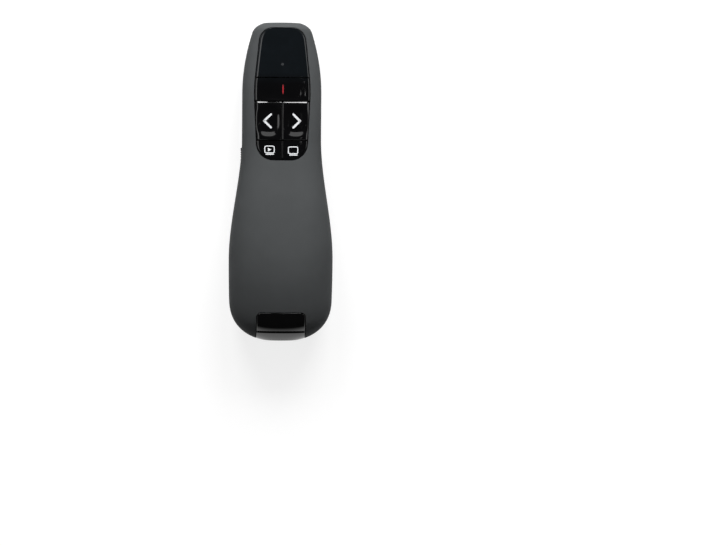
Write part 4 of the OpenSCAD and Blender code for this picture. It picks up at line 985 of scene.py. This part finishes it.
def stroke(face, a, b, width, cells=24, across=8):
    """A straight stroke from a to b with round ends: its width follows a circle near each end."""
    a, b = np.array(a, float), np.array(b, float)
    along = (b - a) / np.linalg.norm(b - a)
    side = np.array([-along[1], along[0]])
    r, length = width / 2, np.linalg.norm(b - a)
    turn = np.linspace(0.12, np.pi / 2, 7)
    shaft = np.linspace(0, length, cells)[1:-1]
    reach = np.concatenate([-r * np.cos(turn), shaft, length + r * np.cos(turn[::-1])])
    wide = np.concatenate([r * np.sin(turn), np.full(cells - 2, r), r * np.sin(turn[::-1])])
    v = np.linspace(-1, 1, across)
    x = a[0] + along[0] * reach[:, None] + side[0] * wide[:, None] * v
    s = a[1] + along[1] * reach[:, None] + side[1] * wide[:, None] * v
    return ink_on(face, x, s)


def ring_stroke(face, cx, cs, half_x, half_s, width, count=96):
    """A rounded rectangle drawn as a closed stroke."""
    t = np.linspace(0, 2 * np.pi, 4 * count, endpoint=False)
    power = 5.0
    scale = (np.abs(np.cos(t)) ** power + np.abs(np.sin(t)) ** power) ** (-1 / power)
    ox, os = resample(cx + half_x * scale * np.cos(t), cs + half_s * scale * np.sin(t), count)
    nx, ns = inward_normals(ox, os)
    v = np.linspace(0, width, 5)
    x, s = ox[:, None] + nx[:, None] * v, os[:, None] + ns[:, None] * v
    upper, lower = place(x, s, face(x, s) + INK), place(x, s, face(x, s) - INK)
    n = count * 5
    top = grid_faces(count, 5, wrap_rows=True)
    rim = np.arange(count)[:, None] * 5
    nxt = (np.arange(count)[:, None] + 1) % count * 5
    outer = np.concatenate([rim, nxt, nxt + n, rim + n], 1)
    inner = np.concatenate([rim + 4, rim + 4 + n, nxt + 4 + n, nxt + 4], 1)
    return outward(np.concatenate([upper, lower]), [top, (top + n)[:, ::-1], outer[:, ::-1], inner[:, ::-1]])


def triangle(face, tip, base_x, half, rows=14):
    """A filled triangle: rows shrink from the base to the tip."""
    u = np.linspace(0, 1, rows)[:, None]
    x = base_x + (tip[0] - base_x) * u + np.zeros((1, 7))
    s = tip[1] + half * np.clip(1 - u, 0.02, 1) * np.linspace(-1, 1, 7)[None, :]
    return ink_on(face, x, s)


def chevron(side):
    """Two strokes that meet in a tip which points away from the middle line."""
    face = turn_face(side)
    tip, ends = side * 6.5, side * 4.05
    return stack(*[stroke(face, (tip, 35.5), (ends, far), 0.75) for far in (33.15, 37.85)])


def screen(face, cx, cs, play):
    """A screen's frame with a bar behind it, and a play triangle in it if play says so."""
    marks = [ring_stroke(face, cx, cs, 1.88, 1.4, 0.35),
             stroke(face, (cx - 1.2, cs + 1.72), (cx + 1.45, cs + 1.72), 0.38)]
    if play:
        marks.append(triangle(face, (cx + 0.75, cs + 0.05), cx - 0.6, 0.65))
    return stack(*marks)


led_low, led_high = box_mm("light_pipe")
LED_S, LED_R = NOSE_Y - (led_low[1] + led_high[1]) / 2, 0.5
u, v = np.meshgrid(np.linspace(-1, 1, 9), np.linspace(-1, 1, 9))
status = ink_on(lambda x, s: body_top(x, s) - 0.03, LED_R * u * np.sqrt(1 - v**2 / 2),
                LED_S + LED_R * v * np.sqrt(1 - u**2 / 2))
MARKS = {
    "status_mark": ("casing", status, SMOKE),
    "laser_mark": ("laser_key", stroke(laser_face, (0.25, 22.6), (0.25, 25.6), 0.5), RED_INK),
    "back_mark": ("back_key", chevron(-1), WHITE_INK),
    "forward_mark": ("forward_key", chevron(1), WHITE_INK),
    "slideshow_mark": ("slideshow_key", screen(show_face, -4.5, 45.8, True), WHITE_INK),
    "blank_mark": ("blank_key", screen(show_face, 4.0, 46.05, False), WHITE_INK),
}
for name, (body, part, ink) in MARKS.items():
    carry(mesh_object(name, part, 60), body, ink)

# %% [markdown]
# ## Battery door
# The door is a strip of the belly that slides off towards the tail, where it wraps up round the end. Five
# grooves give the thumb a grip. It is a plate whose face is the body's underside and whose floor is the
# same surface one wall further in.

# %% Battery door
GRIPS, GRIP_FIRST, GRIP_PITCH = 5, 62.5, 2
GRIP_HALF, GRIP_REACH, GRIP_DEPTH = 0.5, 4.6, 0.5


def door_part():
    """The door is drawn upside down, because a plate rolls its upper borders, and is then turned over."""
    half = DOOR_HALF - DOOR_GAP
    start = DOOR_START + DOOR_GAP
    s = np.concatenate([start + DOOR_ROLL * (1 - np.cos(np.linspace(0, np.pi / 2, 6)))[:-1],
                        np.linspace(start + DOOR_ROLL, LENGTH - 4, 190)[:-1],
                        LENGTH - 4 * (1 - np.sin(np.linspace(0, np.pi / 2, 60)))])
    edge = lambda at: np.minimum(half, half_width(at) - 0.02)
    x, s = between(s, lambda at: -edge(at), edge, 0.02, 60)

    def face(a, b):
        centre = GRIP_FIRST + GRIP_PITCH * np.arange(GRIPS)
        grooves = np.clip(1 - np.abs((b[..., None] - centre) / GRIP_HALF) ** 3, 0, 1).max(-1)
        grooves = grooves * (1 - ease((np.abs(a) - GRIP_REACH) / 0.5)) * GRIP_DEPTH
        return -np.minimum(skin(a, b, False) + grooves, PART_Z - SEAM / 2)

    def inner(a, b):
        return -np.minimum(np.maximum(skin(a, b, False, WALL), skin(a, b, False) + 0.6), PART_Z - 0.11)

    borders = [line_border(1, 0, -half, DOOR_ROLL), line_border(-1, 0, -half, DOOR_ROLL),
               line_border(0, 1, start, DOOR_ROLL)]
    points, faces = plate(x, s, face, inner, borders)
    points[:, 2] *= -1
    return outward(points, faces)


carry(mesh_object("belly_door", door_part()), "battery_door", SOFT_TOUCH, ["battery_door"])

# %% [markdown]
# ## Receiver
# The receiver is a small plug-in stick that lives in the tail. Only its glossy end shows when it is
# stowed, flush with the casing and with a groove for a fingernail. Its long body is a plain black shell.

# %% Receiver shells
RECEIVER_START, RECEIVER_Z, PLUG_Z, RECEIVER_TOP = 74.5, 13.65, 17.25, 20.85
NAIL, NAIL_HALF, NAIL_DEPTH = (111.5, 112.1), 0.32, 0.45
FLUSH = 0.08  # the receiver's end stays this much under the casing's surface
ROOM_HALF, ROOM_START, ROOM_END, ROOM_Z = 7.6, 75.7, CAP_START - 1.2, (14.65, 19.65)
PLUG_HALF, PLUG_TALL = 6.05, 2.3


def receiver_end():
    """The glossy end: its face is the body's own, with a groove across it for a fingernail."""
    s = np.concatenate([spread(CAP_START, NAIL[0], 0.2, 24), np.linspace(NAIL[0], NAIL[1], 9)[1:-1],
                        NAIL[1] + (LENGTH - 0.06 - NAIL[1]) * np.sin(np.linspace(0, np.pi / 2, 34))])
    edge = lambda at: np.minimum(RECEIVER_HALF, half_width(at) - FLUSH)
    x, s = between(s, lambda at: -edge(at), edge, 0.03, 60)
    groove = lambda b: NAIL_DEPTH * np.clip(1 - np.abs((b - sum(NAIL) / 2) / NAIL_HALF) ** 4, 0, 1)
    face = lambda a, b: np.maximum(skin(a, b, True) - FLUSH - groove(b), RECEIVER_Z + 0.3)
    rim_x, rim_s = resample(*cap_outline(0.0, LENGTH + 5), 900)
    return plate(x, s, face, RECEIVER_Z, [curve_border(rim_x, rim_s, 0.3)])


def box_plate(x0, x1, s0, s1, low, high, radius, cells=(24, 40)):
    """A block with a rolled upper border, as a plate with a level face."""
    x, s = np.meshgrid(spread(x0, x1, radius, cells[0]), spread(s0, s1, radius, cells[1]))
    return plate(x, s, lambda a, b: np.full_like(a, high), low, four_borders(x0, x1, s0, s1, radius))


def hollow(piece):
    """Cuts the receiver's inner room and the plug's hole."""
    trim(piece, bar((-ROOM_HALF, ROOM_HALF), (ROOM_START, ROOM_END), ROOM_Z))
    trim(piece, bar((-PLUG_HALF, PLUG_HALF), (72.0, 76.0), (PLUG_Z - PLUG_TALL, PLUG_Z + PLUG_TALL)))


base_half = RECEIVER_HALF - 0.02
base_piece = mesh_object("receiver_body", box_plate(-base_half, base_half, RECEIVER_START, CAP_START + 2.0,
                                                    RECEIVER_Z + 0.02, PLUG_Z - 0.05, 0.1))
hollow(base_piece)
join(base_piece, receiver_end())
carry(base_piece, "receiver", GLOSS, ["receiver_base"])
lid_piece = mesh_object("receiver_lid", box_plate(-RECEIVER_HALF, RECEIVER_HALF, RECEIVER_START,
                                                  CAP_START - 0.1, PLUG_Z + 0.05, RECEIVER_TOP, 0.8))
hollow(lid_piece)
carry(lid_piece, "receiver", GLOSS, ["receiver_cover"])

# %% [markdown]
# ## Small outside pieces
# The power slider stands in the left side with ridges for a fingertip. The laser's bezel is a turned ring
# in the nose. Four screws hold the casings together from below.

# %% Slider, bezel and screws
RIDGES, RIDGE_HEIGHT, SLIDER_ROLL = 6, 0.16, 0.25


def slider_part():
    """A plate that faces the left side, with six soft ridges, and the stem that reaches the switch."""
    low, high = box_mm("power_slider")
    z0, z1 = low[2], high[2]
    s0, s1 = NOSE_Y - high[1], NOSE_Y - low[1]
    zz, ss = np.meshgrid(spread(z0, z1, SLIDER_ROLL, 10), spread(s0, s1, SLIDER_ROLL, 70))
    ridge = RIDGE_HEIGHT * (0.5 - 0.5 * np.cos((ss - s0) / (s1 - s0) * 2 * np.pi * RIDGES))
    inside = ease((ss - s0 - 0.4) / 0.3) * ease((s1 - ss - 0.4) / 0.3)
    edge = four_borders(z0, z1, s0, s1, SLIDER_ROLL)
    face = lambda a, b: np.full_like(a, -low[0]) - ridge * inside
    points, faces = plate(zz, ss, face, -(low[0] + 1.1), edge)
    points = np.stack([-points[:, 2], points[:, 1], points[:, 0]], -1)
    stem = bar((low[0] + 1.0, high[0]), ((s0 + s1) / 2 - 1.2, (s0 + s1) / 2 + 1.2), (z0 + 0.15, z1))
    return stack(outward(points, faces), stem)


carry(mesh_object("slider_pad", slider_part()), "power_slider", DARK, ["power_slider"])
bezel_low, bezel_high = box_mm("laser_bezel")
bezel_depth, BEZEL_SIDES = bezel_high[1] - bezel_low[1], 64
profile = [(1.8, bezel_depth), (1.8, 0.35), (1.95, 0.12), (2.15, 0.0), (2.7, 0.0), (2.86, 0.08),
           (BEZEL_RADIUS, 0.25), (BEZEL_RADIUS, bezel_depth)]
points, faces = lathe(profile, (0, NOSE_Y - bezel_high[1], LASER_Z), "s", BEZEL_SIDES)
first, far = np.arange(BEZEL_SIDES), len(points) - BEZEL_SIDES
second = np.roll(first, -1)
back_rim = np.stack([first + far, second + far, second, first], -1)
bezel = outward(points, [faces[0], back_rim])
carry(mesh_object("bezel_ring", bezel), "casing", DARK, ["laser_bezel"])


def screw_part(x, s):
    """Rounded head below, thread as fine rings above it."""
    turns = np.arange(0, 7.2, 0.2)
    thread = [(0.8 - 0.12 * (k % 2), HOLE_TOP + t) for k, t in enumerate(turns)]
    head = [(0.9, 7.1), (1.3, 7.14), (1.55, 7.35), (SCREW_HEAD, 7.6), (SCREW_HEAD, HOLE_TOP)]
    return lathe(head + thread, (x, s, 0.0), sides=32)


screws = mesh_object("casing_screws", stack(*[screw_part(x, s) for x, s in SCREWS]))
ARM, BLADE = 0.85, 0.16
cross_x = np.array([BLADE, BLADE, ARM, ARM, BLADE, BLADE, -BLADE, -BLADE, -ARM, -ARM, -BLADE, -BLADE])
cross_s = np.roll(cross_x, 3)
trim(screws, stack(*[prism(x + cross_x, s + cross_s, 6.5, 7.7) for x, s in SCREWS]))
carry(screws, "casing", STEEL, ["case_screws"])

# %% [markdown]
# ## The cells and their springs
# Two small round cells lie side by side, one turned round. A cell is turned from a profile: a steel can, a
# printed sleeve that wraps over its shoulders, and a button. The sleeve is two plain colours and says
# nothing. The springs are wire coils that narrow towards the cell.

# %% Cells and springs
def cell_finish():
    """Copper-coloured sleeve at the plus end, dark sleeve for the rest, told apart by the piece's own map."""
    wrap = Finish("cell_wrap", Coat_Roughness=0.1)
    band = wrap.node("ShaderNodeUVMap", {"uv_map": "along"})
    split = wrap.node("ShaderNodeSeparateXYZ", _0=band)
    tone = wrap.ramp(split, 0.30, 0.305)
    scuff = wrap.noise(0.6, 3.0)
    return wrap.set(Base_Color=wrap.blend(tone, srgb(176, 112, 62), srgb(34, 36, 40)),
                    Roughness=0.22 + scuff * 0.12, Metallic=0.35, Coat_Weight=0.5)


def cell(node, flip):
    """A turned cell whose map "along" runs from 0 at the plus end to 1 at the minus end."""
    low, high = box_mm(node)
    length = high[1] - low[1]
    x, z = (low[0] + high[0]) / 2, (low[2] + high[2]) / 2
    r = (high[0] - low[0]) / 2
    button = [(0.01, 0.0), (1.7, 0.0), (1.9, 0.12), (1.95, 0.9)]
    shoulder = [(3.4, 0.95), (3.6, 1.0), (r - 0.35, 1.0), (r - 0.08, 1.12), (r, 1.4)]
    wall = [(r, at) for at in np.linspace(1.4, length - 0.7, 32)[1:-1]]
    end = [(r, length - 0.7), (r - 0.1, length - 0.35), (r - 0.4, length - 0.2), (3.6, length - 0.2),
           (3.4, length - 0.02), (0.01, length)]
    dense = np.array(button + shoulder + wall + end)
    h = length - dense[:, 1] if flip else dense[:, 1]
    part = lathe(np.stack([dense[:, 0], h], -1), (x, NOSE_Y - high[1], z), "s", 64)
    piece = mesh_object(node.replace("battery", "cell"), part)
    layer = piece.data.uv_layers.new(name="along")
    co = np.empty(len(piece.data.vertices) * 3)
    piece.data.vertices.foreach_get("co", co)
    y = co.reshape(-1, 3)[:, 1] / MM
    u = (high[1] - y) / length
    u = 1 - u if flip else u
    vertex = np.empty(len(piece.data.loops), np.int32)
    piece.data.loops.foreach_get("vertex_index", vertex)
    layer.data.foreach_set("uv", np.stack([u[vertex], np.zeros(len(vertex))], -1).ravel())
    return piece


CELL_FINISH = cell_finish()
plus_low, plus_high = box_mm("battery_plus_contact")
plus_x = (plus_low[0] + plus_high[0]) / 2
for node in ("battery_left", "battery_right"):
    low, high = box_mm(node)
    near_plus = low[0] < plus_x < high[0]
    carry(cell(node, flip=not near_plus), "casing", CELL_FINISH, [node])


def spring(node, way):
    """A tube carried along a cone-shaped coil: the turn grows with the path while the radius shrinks."""
    low, high = box_mm(node)
    x, z = (low[0] + high[0]) / 2, (low[2] + high[2]) / 2
    wire, taper, turns, steps, sides = 0.3, 1.0, 4.0, 220, 10
    t = np.linspace(0, 1, steps)[:, None]
    a = 2 * np.pi * turns * t
    r = (high[0] - low[0]) / 2 - wire - taper * t
    length = high[1] - low[1] - 2 * wire
    along = wire + length * ease(t * 0.9 + 0.05)
    phi = np.linspace(0, 2 * np.pi, sides, endpoint=False)[None, :]
    rr = r + wire * np.cos(phi)
    px, pz = x + rr * np.cos(a), z + rr * np.sin(a)
    pa = along + wire * np.sin(phi)
    start = NOSE_Y - high[1] if way > 0 else NOSE_Y - low[1]
    caps = [np.arange(sides)[None, :], (np.arange(sides) + sides * (steps - 1))[None, ::-1]]
    return outward(place(px, start + way * pa, pz), [grid_faces(steps, sides, wrap_columns=True), *caps])


for node, way in (("front_battery_spring", 1), ("rear_battery_spring", -1)):
    carry(mesh_object(node.replace("battery_", ""), spring(node, way), 70), "casing", STEEL, [node])

# %% [markdown]
# ## Finishes for the solids that stay
# Boards, chips, contacts, the tray and the frame keep their solid shape, which is already right. A table
# gives each of them its finish.

# %% Dress the kept solids
KEPT = {
    "key_frame": DARK, "key_frame_screws": STEEL, "main_board": BOARD, "board_screws": STEEL,
    "key_switches": DARK, "laser_plunger": IVORY, "back_plunger": IVORY, "forward_plunger": IVORY,
    "slideshow_plunger": IVORY, "blank_plunger": IVORY, "radio_chip": CHIP, "controller_chip": CHIP,
    "crystal": STEEL, "chip_capacitors": CERAMIC, "status_led": IVORY, "light_pipe": PALE_GLASS,
    "laser_window": LASER_GLASS, "laser_barrel": GOLD, "laser_lens": PALE_GLASS, "laser_diode": STEEL,
    "laser_leads": STEEL, "power_switch_body": STEEL, "power_switch_lever": DARK, "battery_tray": DARK,
    "tray_screws": STEEL, "battery_plus_contact": STEEL, "battery_minus_contact": STEEL,
    "battery_link_contact": STEEL, "receiver_board": BOARD, "receiver_chip": CHIP, "usb_plug_shell": STEEL,
    "usb_plug_tongue": IVORY, "usb_contacts": GOLD,
}
for node, material in KEPT.items():
    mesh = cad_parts[node].data
    mesh.materials.clear()
    mesh.materials.append(material)
print("kept solids dressed:", len(KEPT))

# %% [markdown]
# ## Floor and world
# The clicker lies on a pale table. The floor and the world are white to what the camera sees, directly, in
# a mirror or through glass. So the ground comes out white without more light on the object, and the floor
# keeps the object's shadow.

# %% Floor and world
def seen_by_eye(tree):
    """1 for what the camera sees, directly, in a mirror or through glass, and 0 for what lights things."""
    path = tree.nodes.new("ShaderNodeLightPath")
    eye, mirror, glass = (Wire(tree, path.outputs[kind])
                          for kind in ("Is Camera Ray", "Is Glossy Ray", "Is Transmission Ray"))
    return eye.math("MAXIMUM", mirror).math("MAXIMUM", glass)


def backdrop():
    """A pale floor that lifts to white for the camera, and a little more so away from the clicker."""
    made = Finish("pale_floor", Roughness=0.9)
    speck = made.noise(0.6, 3.0)
    made.set(Base_Color=made.blend(speck, srgb(148, 148, 148), srgb(156, 156, 156)))
    seen = seen_by_eye(made.tree)
    glow = made.tree.nodes.new("ShaderNodeEmission")
    glow.inputs["Color"].default_value = (1, 1, 1, 1)
    x, y, _ = made.axes()
    far = made.ramp((x * x + y * y).math("SQRT"), 0.06, 0.3)
    feed(made.tree, glow.inputs["Strength"], seen * (0.8 + far * 0.18))
    both = made.tree.nodes.new("ShaderNodeAddShader")
    made.tree.links.new(made.shader.outputs[0], both.inputs[0])
    made.tree.links.new(glow.outputs[0], both.inputs[1])
    made.tree.links.new(both.outputs[0], made.tree.nodes["Material Output"].inputs["Surface"])
    return made.material


FLOOR_HALF, FLOOR_Z, FLOOR_LINES = 2500, -0.02, 41
u = np.linspace(-1, 1, FLOOR_LINES)
reach = np.sign(u) * np.abs(u) ** 2 * FLOOR_HALF
gx, gy = np.meshgrid(reach, reach)
floor_points = np.stack([gx, gy, np.full_like(gx, FLOOR_Z)], -1).reshape(-1, 3)
floor = mesh_object("floor", (floor_points, [grid_faces(FLOOR_LINES, FLOOR_LINES)[:, ::-1]]))
floor.data.materials.append(backdrop())

world = bpy.data.worlds.new("studio")
bpy.context.scene.world = world
world.use_nodes = True
tree = world.node_tree
background = tree.nodes["Background"]
seen = seen_by_eye(tree)
AMBIENT = 0.07
sky = tree.nodes.new("ShaderNodeSeparateXYZ")
tree.links.new(tree.nodes.new("ShaderNodeTexCoord").outputs["Generated"], sky.inputs[0])
# What is mirrored is white near the horizon and dark overhead
wall = tree.nodes.new("ShaderNodeMapRange")
feed(tree, wall.inputs["Value"], Wire(tree, sky.outputs[2]))
wall.inputs["From Min"].default_value, wall.inputs["From Max"].default_value = 0.3, 0.05
wall.inputs["To Min"].default_value, wall.inputs["To Max"].default_value = 0.03, 1.0
feed(tree, background.inputs["Strength"], AMBIENT + seen * (Wire(tree, wall.outputs[0]) - AMBIENT))
background.inputs["Color"].default_value = (1, 1, 1, 1)

# %% [markdown]
# ## Lights
# Two soft lights stand low beyond the nose with a gap between them, a faint one fills in above them, and
# weaker ones stand left and right. Straight overhead it stays dark, so that the flat gloss panel mirrors
# darkness while its rolled edges catch the lights, and a small dim card gives the laser key one soft
# reflection.

# %% Lights
def softbox(name, centre, aim, size, power):
    """An area light at centre that faces aim, both in millimetres."""
    lamp = bpy.data.lights.new(name, "AREA")
    lamp.shape, lamp.size, lamp.size_y, lamp.energy = "RECTANGLE", size[0] * MM, size[1] * MM, power
    thing = bpy.data.objects.new(name, lamp)
    bpy.context.scene.collection.objects.link(thing)
    thing.location = Vector(centre) * MM
    thing.rotation_euler = (Vector(aim) - Vector(centre)).to_track_quat("-Z", "Y").to_euler()
    return thing


softbox("front_left", (-117, 323, 250), (-117, 25, 15), (140, 170), 1.0)
softbox("front_right", (112, 323, 250), (112, 25, 15), (200, 170), 1.5)
softbox("front_fill", (0, 235, 400), (0, 30, 15), (300, 80), 0.09)
softbox("left_light", (-720, 150, 620), (0, 60, 10), (460, 300), 0.6)
softbox("right_light", (860, 150, 330), (0, 60, 10), (460, 220), 0.38)
softbox("right_card", (151, 31.5, 500), (151, 31.4, 0), (25, 11), 0.0018)

# %% [markdown]
# ## Camera
# The camera looks down from more than a metre away, through a long lens. From there the body is drawn with
# hardly any perspective, so its outline keeps its proportions.

# %% Camera
EYE = Vector((-32.0, 40.0, 1213.7)) * MM
AIM = Vector((30.4, -33.0, 13.5)) * MM
camera_data = bpy.data.cameras.new("camera")
camera = bpy.data.objects.new("camera", camera_data)
bpy.context.scene.collection.objects.link(camera)
bpy.context.scene.camera = camera
camera.location = EYE
forward = (AIM - EYE).normalized()
right = forward.cross(Vector((-0.0083, 1.0, 0.0))).normalized()
above = right.cross(forward)
camera.rotation_euler = Matrix((right, above, -forward)).transposed().to_euler()
distance = (AIM - EYE).length
VIEW_WIDTH, SENSOR = 265.3, 36.0
camera_data.sensor_width = SENSOR
camera_data.lens = SENSOR * distance / (VIEW_WIDTH * MM)
camera_data.clip_end = 20.0
print(f"lens {camera_data.lens:.0f} mm at {distance:.2f} m")

# %% [markdown]
# ## Look
# The Standard view shows colours as they are written.

# %% Look settings
bpy.context.scene.view_settings.view_transform = "Standard"
